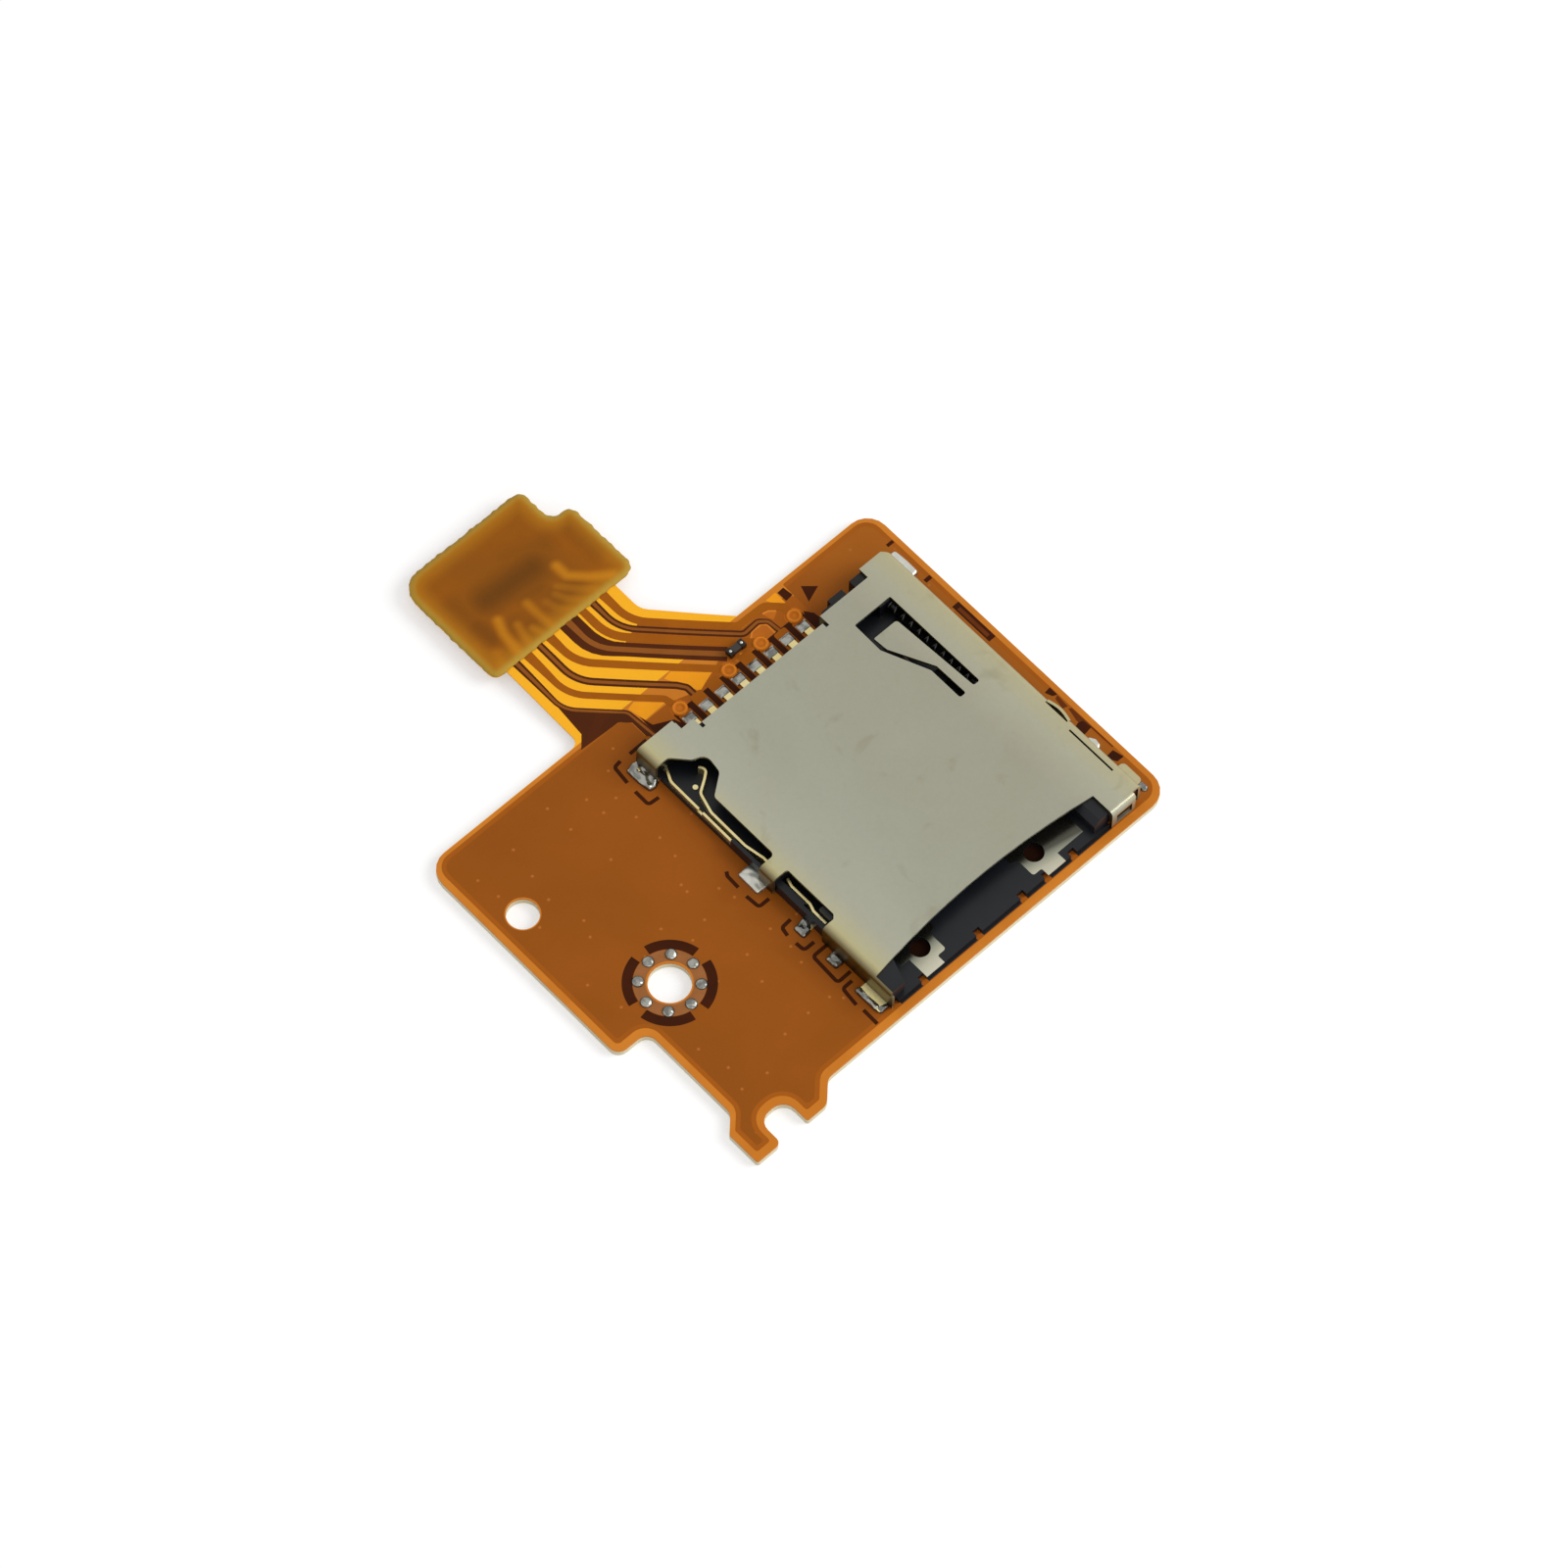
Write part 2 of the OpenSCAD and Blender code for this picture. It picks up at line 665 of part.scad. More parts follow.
module front_lip() {
    x0 = lip_x;
    x1 = shell_x1 - lip_slit;
    difference() {
        bar(rounded([
            [shell_y0 + sheet_t, shell_h, 0], [shell_y0 - lip_out, shell_h, lip_out],
            [shell_y0 - lip_out, wall_z, 0], [shell_y0 - lip_out + sheet_t, wall_z, 0],
            [shell_y0 - lip_out + sheet_t, roof, lip_out - sheet_t], [shell_y0 + sheet_t, roof, 0]
        ]), x0, x1);
        block([x0 + lip_window[0], x0 + lip_window[1]], [shell_y0 - cut, shell_y0],
            [lip_window[2], lip_window[3]]);
    }
}

module socket_shell() {
    color(nickel_color)
        on_board() {
            difference() {
                union() {
                    channel();
                    front_lip();
                    for (y = [left_tab_y, front_tab_y])
                        block([shell_x0 - tab_reach, in_x0], y, [0, sheet_t]);
                    block([in_x1, shell_x1 + tab_reach], back_tab_y, [0, sheet_t]);
                    slab(rounded([
                        [in_x1, flange_y[0], 0], [shell_x1 + flange_reach, flange_y[0], flange_r],
                        [shell_x1 + flange_reach, flange_y[1], flange_r], [in_x1, flange_y[1], 0]
                    ]), 0, sheet_t);
                    // End of the left wall, curled in round the base
                    block([shell_x0, shell_x0 + curl_w], [shell_y0 - sheet_t, shell_y0], [wall_z, curl_h]);
                    block([shell_x0, in_x0], [shell_y0 - sheet_t, shell_y0 + sheet_t], [wall_z, curl_h]);
                }
                shell_cuts();
            }
            slab(strip(bulge_line(), sheet_t), bulge_z, shell_h - bend_r / 3);
        }
}

// Metal plate in the floor with two wings, a pilot hole and a lead to the board; side is -1 or 1
module ground_plate_form(side) {
    px = side * pilot_x + card_offset;
    wing = side < 0 ? left_wing : right_wing;
    wall_x = side < 0 ? base_x0 + 0.35 : base_x1 - 0.35;
    end_x = side < 0 ? foot_x0 : foot_x1;
    difference() {
        slab(rounded([
            [px - side * plate_tab[0], base_y0, 0], [px + side * plate_tab[1], base_y0, 0],
            [px + side * plate_tab[1], wing[1], 0], [px + side * wing[0], wing[1], 0],
            [px + side * wing[0], plate_back, 0.2], [px + side * plate_neck, plate_back, 0.2],
            [px + side * plate_neck, lead_y[1], 0], [px - side * plate_neck, lead_y[1], 0],
            [px - side * plate_neck, plate_back, 0.2], [px - side * inner_wing[0], plate_back, 0.2],
            [px - side * inner_wing[0], inner_wing[1], 0],
            [px - side * plate_shoulder, inner_wing[1], inner_wing[2]],
            [px - side * plate_shoulder, base_y0 + plate_step, 0.15],
            [px - side * plate_tab[0], base_y0 + plate_step, 0.1]
        ]), floor_t - plate_t, floor_t);
        translate([px, pilot_y, -cut])
            cylinder(r = pilot_r, h = floor_t + 2 * cut);
    }
    block([min(wall_x, px + plate_neck * side), max(wall_x, px + plate_neck * side)], lead_y,
        [floor_t - plate_t, floor_t]);
    block([wall_x - plate_t / 2, wall_x + plate_t / 2], lead_y, [0, floor_t]);
    block([min(wall_x, end_x), max(wall_x, end_x)], lead_y, [0, plate_t]);
}

module ground_plate_left() {
    color(nickel_color)
        on_board()
            union()
                ground_plate_form(-1);
}

module ground_plate_right() {
    color(nickel_color)
        on_board()
            union()
                ground_plate_form(1);
}

function contact_x(i) = contact_pitch * (i - 4.5);

module base_solid() {
    block([base_x0, base_x1], [base_y0, base_y1], [0, floor_t]);
    block([base_x0, slot_x0], [shell_y0 + seat_gap, base_y1], [floor_t, base_top]);
    block([slot_x0, base_x1], [back_y, base_y1], [floor_t, base_top]);
    block([tall_x - 0.1, base_x1], [bay_y, base_y1], [floor_t, base_top]);
    // Front stop of the slider, sloped towards the card
    translate([0, stop_y, 0])
        rotate([90, 0, 0])
            linear_extrude(stop_y - shell_y0)
                polygon([
                    [stop_x, floor_t - cut / 10], [base_x1, floor_t - cut / 10], [base_x1, base_top],
                    [stop_x + stop_slope, base_top], [stop_x, base_top - stop_slope]
                ]);
    // Lugs that show behind the shell
    block([lug_x[0] - heel_w, lug_x[1]], [back_y, base_y1 + heel_l], [0, base_top]);
    block(lug_x, [back_y, base_y1 + lug_l], [0, base_top]);
    block(post_x, [back_y, base_y1 + post_l], [0, base_top]);
    // Spigot that holds the spring's back end
    translate([spring_x, bay_y + spigot_l, spring_z])
        rotate([90, 0, 0])
            cylinder(r = spigot_r, h = 2 * spigot_l);
}

module base_cuts() {
    // Windows for the contact beams and channels for their tails
    for (i = [1:8]) {
        block([contact_x(i) - contact_w / 2 - 0.06, contact_x(i) + contact_w / 2 + 0.06],
            [back_y - beam_l - beam_room, back_y], [-cut, floor_t + cut]);
        block([contact_x(i) - contact_w / 2, contact_x(i) + contact_w / 2],
            [back_y - cut / 4, base_y1 + cut], [-cut, contact_t]);
    }
    // Step of the back wall under the shell's edge, so that the tails lie open
    block([-tail_gap_x - back_slit_w / 2, tail_gap_x + back_slit_w / 2],
        [tail_gap_y - back_slit_w / 4, base_y1 + cut], [floor_t, base_top + cut]);
    // Pocket of the card detect switch, with a thin skin left at its front end
    block([base_x0 - cut, slot_x0 + cut / 4], [skin_y, detect_y1 + 0.1], [floor_t, base_top + cut]);
    block([base_x0 + 0.2, slot_x0 + cut / 4], [detect_y0, skin_y + cut / 4], [floor_t, base_top + cut]);
    block([base_x0 - cut, base_x0 + 0.3], [detect_y0, skin_y], [leaf_z1, base_top + cut]);
    // Room for the shell's front lip and the curled end of its left wall
    block([lip_x - seat_gap, base_x1 + cut], [base_y0 - cut, shell_y0 + seat_gap], [-cut, base_top + cut]);
    block([base_x0 - cut, shell_x0 + curl_w + seat_gap], [base_y0 - cut, shell_y0 + seat_gap],
        [-cut, base_top + cut]);
    // Pocket of the lock leaf, open above its outer wall
    block([lock_x - 0.1, slot_x0 + cut / 4], [lock_y0 + 1, lock_y1], [floor_t, base_top + cut]);
    block([base_x0 - cut, lock_x], [lock_y0, lock_y1], [0.78, base_top + cut]);
    block([lock_x - 0.25, slot_x0 + cut / 4], [lock_y0 + 0.95, lock_y0 + 1.8], [floor_t, base_top + cut]);
    // Seats and passages of the standing leaves
    leaf_forms();
    // Ground plates, their leads and the pilot holes through the floor
    for (side = [-1, 1]) {
        ground_plate_form(side);
        translate([side * pilot_x + card_offset, pilot_y, -cut])
            cylinder(r = pilot_r, h = floor_t + 2 * cut);
    }
    // Notches along the front edge of the floor
    for (x = notch_x)
        block([x - notch_w / 2, x + notch_w / 2], [base_y0 - cut, base_y0 + notch_d], [-cut, floor_t + cut]);
    // Hole for the cam pin's fixed leg
    translate([pivot_x, pivot_y, -cut])
        cylinder(d = pin_d + 2 * pin_hole_play, h = floor_t + 2 * cut);
    // Lead-in slope on the left wall at the mouth
    slab([
        [slot_x0 - 0.5, base_y0 - cut], [slot_x0 + cut / 4, base_y0 - cut],
        [slot_x0 + cut / 4, base_y0 + 1.6], [slot_x0, base_y0 + 1.6], [slot_x0 - 0.5, base_y0 + 0.15]
    ], floor_t, base_top + cut);
}

module socket_base() {
    color(black_color)
        on_board()
            difference() {
                union()
                    base_solid();
                base_cuts();
            }
}

// Bent strip of one contact, from its tail on the board to its tip in the floor's window
module contact(i) {
    tip = back_y - beam_l;
    low = contact_t / 2;
    line = rounded_line([
        [tail_end, low, 0], [back_y - 0.25, low, 0.3],
        [back_y - beam_peak * beam_l, floor_t + contact_rise - low, 0.5], [tip, floor_t - low, 0]
    ]);
    color(gold_color)
        on_board()
            bar(strip(line, contact_t), contact_x(i) - contact_w / 2, contact_x(i) + contact_w / 2);
}

module standing_leaf(path, z1) {
    slab(strip(rounded_line(path), leaf_t), floor_t, z1);
}

// Foot of a standing leaf: down through the floor and out to the board
module leaf_foot(x, y) {
    block([x - leaf_t / 2, x + leaf_t / 2], y, [0, floor_t]);
    block([foot_x0, x + leaf_t / 2], y, [0, leaf_t]);
}

module lever_form() {
    standing_leaf(lever_path, leaf_z1);
    leaf_foot(lever_x, lever_foot);
}

module fixed_form() {
    difference() {
        standing_leaf(fixed_path, fixed_z1);
        block([in_x0, slot_x0], fixed_gap_y, [fixed_low_z, fixed_z1 + cut]);
    }
    leaf_foot(lock_x, fixed_foot);
}

module lock_form() {
    standing_leaf(lock_path, leaf_z1);
    leaf_foot(lock_x - lock_jog, lock_foot);
}

module leaf_forms() {
    lever_form();
    fixed_form();
    lock_form();
}

module detect_lever() {
    color(gold_color)
        on_board()
            union()
                lever_form();
}

module detect_contact() {
    color(gold_color)
        on_board() {
            fixed_form();
            // End of the lead frame that shows in the floor
            translate([boss_pos[0], boss_pos[1], floor_t])
                cylinder(r = boss_r, h = boss_r / 2);
        }
}

module lock_leaf() {
    color(gold_color)
        on_board()
            union()
                lock_form();
}

module eject_slider() {
    color(black_color)
        on_board() {
            difference() {
                union() {
                    block([slider_x0, slider_x1], [slider_y0, slider_y1], [slider_z0, cam_top]);
                    block([tall_x, slider_x1], [slider_y0, slider_y1], [slider_z0, tall_top]);
                    // Arm and catch that the card's front edge pushes
                    block([slider_x0, slider_x0 + arm_w], [slider_y0, catch_y + catch_l], [slider_z0, cam_top]);
                    slab(rounded([
                        [catch_x, catch_y, 0.1], [slider_x0 + arm_w, catch_y, 0],
                        [slider_x0 + arm_w, catch_y + catch_l, 0], [catch_x, catch_y + catch_l, 0.25]
                    ]), slider_z0, cam_top);
                }
                // Bay that takes the front end of the spring
                block([spring_x - spring_r - spring_play, spring_x + spring_r + spring_play],
                    [spring_y0, slider_y1 + cut], [slider_z0 - cut, tall_top + cut]);
                // Heart cam: two lanes round an island, joined at both ends
                translate([0, 0, groove_z])
                    linear_extrude(cam_top - groove_z + cut)
                        difference() {
                            polygon(rounded([
                                [lane_a - lane_w / 2, follow_y - slide_travel - lane_w / 2, 0.15],
                                [lane_b + lane_w / 2, follow_y - slide_travel - lane_w / 2, 0.15],
                                [lane_b + lane_w / 2, follow_y + lane_w / 2, 0.15],
                                [lane_a - lane_w / 2, follow_y + lane_w / 2, 0.15]
                            ]));
                            polygon(heart);
                        }
            }
            translate([spring_x, spring_y0 - spigot_l, spring_z])
                rotate([-90, 0, 0])
                    cylinder(r = spigot_r, h = 2 * spigot_l);
        }
}

// Coil swept along its own helix
module eject_spring() {
    sides = 6;
    per_turn = 16;
    rings = spring_turns * per_turn;
    wire_r = spring_wire / 2;
    mid_r = spring_r - wire_r;
    length = spring_y1 - spring_y0 - spring_wire;
    points = [for (i = [0:rings], k = [0:sides - 1])
        let (
            a = -360 * i / per_turn,
            b = 360 * k / sides,
            r = mid_r + wire_r * cos(b)
        )
        [r * cos(a), wire_r + length * i / rings + wire_r * sin(b), r * sin(a)]];
    walls = [for (i = [0:rings - 1], k = [0:sides - 1])
        let (a = i * sides + k, b = i * sides + (k + 1) % sides)
        [a, a + sides, b + sides, b]];
    ends = [[for (k = [0:sides - 1]) k], [for (k = [sides - 1:-1:0]) rings * sides + k]];
    color(spring_color)
        on_board()
            translate([spring_x, spring_y0, spring_z])
                polyhedron(points, concat(walls, ends));
}

module cam_pin() {
    r = pin_d / 2;
    lean = atan2(lane_gap / 2, pivot_y - follow_y);
    color(spring_color)
        on_board()
            translate([pivot_x, pivot_y, 0])
                rotate([0, 0, -lean]) {
                    translate([0, 0, 0.06])
                        cylinder(r = r, h = pin_z - 0.06);
                    translate([0, -pin_l, groove_z + run_gap])
                        cylinder(r = r, h = pin_z - groove_z - run_gap);
                    translate([0, 0, pin_z])
                        rotate([90, 0, 0])
                            cylinder(r = r, h = pin_l);
                    translate([0, 0, pin_z])
                        sphere(r = r);
                    translate([0, -pin_l, pin_z])
                        sphere(r = r);
                }
}

module tail_solder() {
    color(solder_color)
        on_board()
            for (i = [1:8])
                bar([[tail_end, 0], [tail_end + fillet_w, 0], [tail_end, contact_t]],
                    contact_x(i) - contact_w / 2 - 0.05, contact_x(i) + contact_w / 2 + 0.05);
}

// Sloped bead of solder against the outer end of a terminal
module bead(x, y, side) {
    h = fillet_h;
    translate([x, y[0], 0])
        mirror([side < 0 ? 1 : 0, 0, 0])
            translate([0, y[1] - y[0], 0])
                rotate([90, 0, 0])
                    linear_extrude(y[1] - y[0])
                        polygon([[0, 0], [fillet_w, 0], [fillet_w * 0.4, h * 0.7], [0, h]]);
}

module terminal_solder() {
    color(solder_color)
        on_board() {
            for (y = [left_tab_y, front_tab_y])
                bead(shell_x0 - tab_reach, y, -1);
            bead(shell_x1 + tab_reach, back_tab_y, 1);
            bead(shell_x1 + flange_reach, [flange_y[0] + flange_r, flange_y[1] - flange_r], 1);
            for (y = [lever_foot, fixed_foot, lock_foot, lead_y])
                bead(foot_x0, y, -1);
            bead(foot_x1, lead_y, 1);
        }
}

module ring_solder() {
    ball_r = (bump_r * bump_r + bump_h * bump_h) / (2 * bump_h);
    color(solder_color)
        on_board()
            for (i = [0:bump_count - 1])
                translate([
                    screw_x + bump_ring_r * cos(360 * i / bump_count),
                    screw_y + bump_ring_r * sin(360 * i / bump_count),
                    bump_h - ball_r
                ])
                    intersection() {
                        sphere(r = ball_r);
                        translate([-ball_r, -ball_r, ball_r - bump_h])
                            cube([2 * ball_r, 2 * ball_r, ball_r]);
                    }
}

module chip_body() {
    color(chip_color)
        on_board()
            translate([chip_x - chip_l / 2, chip_y - chip_w / 2, 0])
                cube([chip_l, chip_w, chip_h]);
}

module chip_ends() {
    color(solder_color)
        on_board()
            for (side = [-1, 1])
                translate([
                    chip_x + side * (chip_l + chip_end) / 2 - chip_end / 2,
                    chip_y - chip_w / 2 - chip_swell,
                    0
                ])
                    cube([chip_end, chip_w + 2 * chip_swell, chip_h + chip_swell]);
}

flex_board();
board_stiffener();
tab_film();
plug_housing();
plug_contacts();
plug_anchors();
socket_shell();
socket_base();
contact(1);  // contact_1
contact(2);  // contact_2
contact(3);  // contact_3
contact(4);  // contact_4
contact(5);  // contact_5
contact(6);  // contact_6
contact(7);  // contact_7
contact(8);  // contact_8
detect_lever();
detect_contact();
lock_leaf();
ground_plate_left();
ground_plate_right();
eject_slider();
eject_spring();
cam_pin();
tail_solder();
terminal_solder();
ring_solder();
chip_body();
chip_ends();
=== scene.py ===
import math

import bmesh
import bpy
from mathutils import Matrix, Vector, noise
from mathutils.geometry import tessellate_polygon


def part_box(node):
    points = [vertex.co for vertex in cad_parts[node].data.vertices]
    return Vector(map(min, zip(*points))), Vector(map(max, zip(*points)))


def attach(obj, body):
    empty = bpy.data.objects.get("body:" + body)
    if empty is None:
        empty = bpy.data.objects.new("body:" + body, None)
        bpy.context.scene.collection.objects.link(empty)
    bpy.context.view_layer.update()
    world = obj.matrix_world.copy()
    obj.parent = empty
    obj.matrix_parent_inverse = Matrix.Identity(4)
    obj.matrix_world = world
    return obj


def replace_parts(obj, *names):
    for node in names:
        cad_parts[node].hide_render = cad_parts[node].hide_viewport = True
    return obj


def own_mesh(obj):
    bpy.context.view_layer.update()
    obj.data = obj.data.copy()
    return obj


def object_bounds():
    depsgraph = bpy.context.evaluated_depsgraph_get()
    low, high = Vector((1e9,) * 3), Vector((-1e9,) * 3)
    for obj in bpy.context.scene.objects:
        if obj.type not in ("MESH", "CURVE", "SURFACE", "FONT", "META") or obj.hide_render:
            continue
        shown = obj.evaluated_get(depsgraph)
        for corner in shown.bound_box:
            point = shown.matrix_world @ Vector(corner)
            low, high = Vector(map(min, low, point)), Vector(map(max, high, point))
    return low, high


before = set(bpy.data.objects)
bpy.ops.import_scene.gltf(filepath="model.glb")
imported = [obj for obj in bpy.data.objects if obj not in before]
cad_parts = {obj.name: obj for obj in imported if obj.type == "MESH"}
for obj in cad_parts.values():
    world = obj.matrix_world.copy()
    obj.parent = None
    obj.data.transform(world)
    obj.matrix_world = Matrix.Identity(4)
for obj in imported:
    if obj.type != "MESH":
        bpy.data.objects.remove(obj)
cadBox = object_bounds()
mm = 0.001  # plans below are drawn in millimetres, the scene is in metres
print("frame loaded:", len(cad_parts), "nodes")


# Camera, from the vanishing of the board's edges in the picture
cameraView = {
    "lens": 179.449, "sensor": 36.0, "clip": (0.01, 20.0),
    "azimuth": -44.379, "elevation": 62.191, "roll": -1.547,
    "across": -1.632, "upward": 5.382, "distance": 389.96, "datum": 0.47,
}


def addObject(name, data):
    thing = bpy.data.objects.new(name, data)
    bpy.context.collection.objects.link(thing)
    return thing


def placeCamera(view):
    turn, rise, roll = (math.radians(view[k]) for k in ("azimuth", "elevation", "roll"))
    right = Vector((math.cos(turn), math.sin(turn), 0.0))
    back = Vector((math.sin(turn) * math.cos(rise), -math.cos(turn) * math.cos(rise), math.sin(rise)))
    up = back.cross(right)
    rows = (
        right * math.cos(roll) - up * math.sin(roll),
        right * math.sin(roll) + up * math.cos(roll),
        back,
    )
    shift = (view["across"], view["upward"], -view["distance"])
    eye = Vector((0.0, 0.0, view["datum"]))
    for row, amount in zip(rows, shift):
        eye -= row * amount
    data = bpy.data.cameras.new("camera")
    data.lens = view["lens"]
    data.sensor_width = view["sensor"]
    data.sensor_fit = "HORIZONTAL"
    data.clip_start, data.clip_end = view["clip"]
    camera = addObject("camera", data)
    camera.matrix_world = Matrix.Translation(eye * mm) @ Matrix(rows).transposed().to_4x4()
    bpy.context.scene.camera = camera


placeCamera(cameraView)
print("camera placed")


# Shader groups shared by the finishes
def linear(rgb):
    parts = [c / 255.0 for c in rgb]
    return tuple(c / 12.92 if c <= 0.04045 else ((c + 0.055) / 1.055) ** 2.4 for c in parts) + (1.0,)


def newGroup(name, inputs, outputs):
    group = bpy.data.node_groups.new(name, "ShaderNodeTree")
    for socketName, value in inputs.items():
        socket = group.interface.new_socket(socketName, in_out="INPUT", socket_type="NodeSocketFloat")
        socket.default_value = value
    for socketName in outputs:
        group.interface.new_socket(socketName, in_out="OUTPUT", socket_type="NodeSocketFloat")
    return group, group.nodes.new("NodeGroupInput"), group.nodes.new("NodeGroupOutput")


def addNode(tree, kind, **settings):
    node = tree.nodes.new(kind)
    for key, value in settings.items():
        if key in node.inputs:
            node.inputs[key].default_value = value
        else:
            setattr(node, key, value)
    return node


def feed(tree, socket, value):  # numbers and colours of 0 to 255 are set, outputs are linked
    if isinstance(value, (int, float)):
        socket.default_value = value
    elif isinstance(value, tuple):
        socket.default_value = linear(value)
    else:
        tree.links.new(value, socket)


def mathNode(tree, operation, first, second):
    node = addNode(tree, "ShaderNodeMath", operation=operation)
    for socket, value in zip(node.inputs, (first, second)):
        feed(tree, socket, value)
    return node.outputs[0]


def rangeNode(tree, value, low, high):  # smooth 0 to 1 between low and high
    node = addNode(tree, "ShaderNodeMapRange", interpolation_type="SMOOTHSTEP")
    for name, source in (("Value", value), ("From Min", low), ("From Max", high)):
        feed(tree, node.inputs[name], source)
    return node.outputs[0]


def groupTexture(group, given, kind, **settings):  # lies on the part's own coordinates
    place = addNode(group, "ShaderNodeTexCoord")
    texture = addNode(group, kind, **settings)
    group.links.new(place.outputs["Object"], texture.inputs["Vector"])
    group.links.new(given.outputs["Scale"], texture.inputs["Scale"])
    return texture


def makeGrainGroup():  # fine tone and height of a surface
    group, given, result = newGroup("grain", {"Scale": 3000.0, "Contrast": 0.1}, ("Tone", "Height"))
    texture = groupTexture(group, given, "ShaderNodeTexNoise", Detail=5.0, Roughness=0.6)
    centred = mathNode(group, "SUBTRACT", texture.outputs[0], 0.5)
    swing = mathNode(group, "MULTIPLY", centred, given.outputs["Contrast"])
    group.links.new(mathNode(group, "ADD", swing, 1.0), result.inputs["Tone"])
    group.links.new(texture.outputs[0], result.inputs["Height"])
    return group


def makeBlotchGroup():  # soft large stains
    inputs = {"Scale": 300.0, "Edge": 0.5, "Softness": 0.2}
    group, given, result = newGroup("blotch", inputs, ("Mask",))
    texture = groupTexture(group, given, "ShaderNodeTexNoise", Detail=3.0, Roughness=0.55, Distortion=0.4)
    low = mathNode(group, "SUBTRACT", given.outputs["Edge"], given.outputs["Softness"])
    high = mathNode(group, "ADD", given.outputs["Edge"], given.outputs["Softness"])
    group.links.new(rangeNode(group, texture.outputs[0], low, high), result.inputs["Mask"])
    return group


def makeSpeckGroup():  # scattered tiny dots
    fullShare = 0.3  # part of a dot's radius that isn't faded
    group, given, result = newGroup("specks", {"Scale": 700.0, "Size": 0.08, "Share": 0.5}, ("Mask",))
    cells = groupTexture(group, given, "ShaderNodeTexVoronoi", voronoi_dimensions="2D")
    core = mathNode(group, "MULTIPLY", given.outputs["Size"], fullShare)
    dot = rangeNode(group, cells.outputs["Distance"], given.outputs["Size"], core)
    chance = addNode(group, "ShaderNodeSeparateColor")
    group.links.new(cells.outputs["Color"], chance.inputs[0])
    kept = mathNode(group, "LESS_THAN", chance.outputs[0], given.outputs["Share"])
    group.links.new(mathNode(group, "MULTIPLY", dot, kept), result.inputs["Mask"])
    return group


grainGroup = makeGrainGroup()
blotchGroup = makeBlotchGroup()
speckGroup = makeSpeckGroup()


def placeGroup(tree, group, **values):
    return addNode(tree, "ShaderNodeGroup", node_tree=group, **values)


def mixColour(tree, mask, first, second):
    node = addNode(tree, "ShaderNodeMix", data_type="RGBA")
    # sockets 6 and 7 take the colours, and output 2 gives the mixed one
    for socket, value in ((node.inputs[0], mask), (node.inputs[6], first), (node.inputs[7], second)):
        feed(tree, socket, value)
    return node.outputs[2]


def makeFinish(name, spec, paint=None):
    material = bpy.data.materials.new(name)
    material.use_nodes = True
    tree = material.node_tree
    link = tree.links.new
    shader = tree.nodes["Principled BSDF"]
    grain = placeGroup(tree, grainGroup, **dict(zip(("Scale", "Contrast"), spec["grain"])))
    blotch = placeGroup(tree, blotchGroup, Scale=spec["blotch"], Softness=spec.get("softness", 0.2))
    colour = mixColour(tree, blotch.outputs["Mask"], spec["colour"], spec["second"])
    if "along" in spec:  # another colour along the part: axis, from, to, colour
        axis, low, high, tone = spec["along"]
        colour = mixColour(tree, axisMask(tree, axis, low, high), colour, tone)
    for effect, tone in spec.get("effects", {}).items():  # colours laid on by the piece's own shares
        mask = addNode(tree, "ShaderNodeAttribute", attribute_name=effect)
        colour = mixColour(tree, mask.outputs["Fac"], colour, tone)
    if paint:
        colour = paint(tree, colour)
    toned = addNode(tree, "ShaderNodeVectorMath", operation="SCALE")
    link(colour, toned.inputs[0])
    link(grain.outputs["Tone"], toned.inputs["Scale"])
    link(toned.outputs[0], shader.inputs["Base Color"])
    rough = addNode(tree, "ShaderNodeMapRange", **dict(zip(("To Min", "To Max"), spec["rough"])))
    link(grain.outputs["Height"], rough.inputs["Value"])
    link(rough.outputs[0], shader.inputs["Roughness"])
    strength, depth = spec["bump"]
    bump = addNode(tree, "ShaderNodeBump", Strength=strength, Distance=depth * mm)
    link(grain.outputs["Height"], bump.inputs["Height"])
    link(bump.outputs[0], shader.inputs["Normal"])
    shader.inputs["Metallic"].default_value = spec.get("metal", 0.0)
    shader.inputs["Specular IOR Level"].default_value = spec.get("gloss", 0.5)
    return material


def axisValue(tree, axis):
    place = addNode(tree, "ShaderNodeTexCoord")
    split = addNode(tree, "ShaderNodeSeparateXYZ")
    tree.links.new(place.outputs["Object"], split.inputs[0])
    return split.outputs[axis]


def axisMask(tree, axis, low, high):  # 0 to 1 along one axis of the part, in millimetres
    return rangeNode(tree, axisValue(tree, axis), low * mm, high * mm)


def rampAlong(tree, along, stops):  # tones along a value, as (millimetres, colour)
    low, high = stops[0][0], stops[-1][0]
    share = addNode(tree, "ShaderNodeMapRange", **{"From Min": low * mm, "From Max": high * mm})
    tree.links.new(along, share.inputs["Value"])
    ramp = addNode(tree, "ShaderNodeValToRGB")
    tree.links.new(share.outputs[0], ramp.inputs[0])
    elements = ramp.color_ramp.elements
    for place, _ in stops[1:-1]:
        elements.new((place - low) / (high - low))
    for element, (_, tone) in zip(elements, stops):
        element.color = linear(tone)
    return ramp.outputs[0]


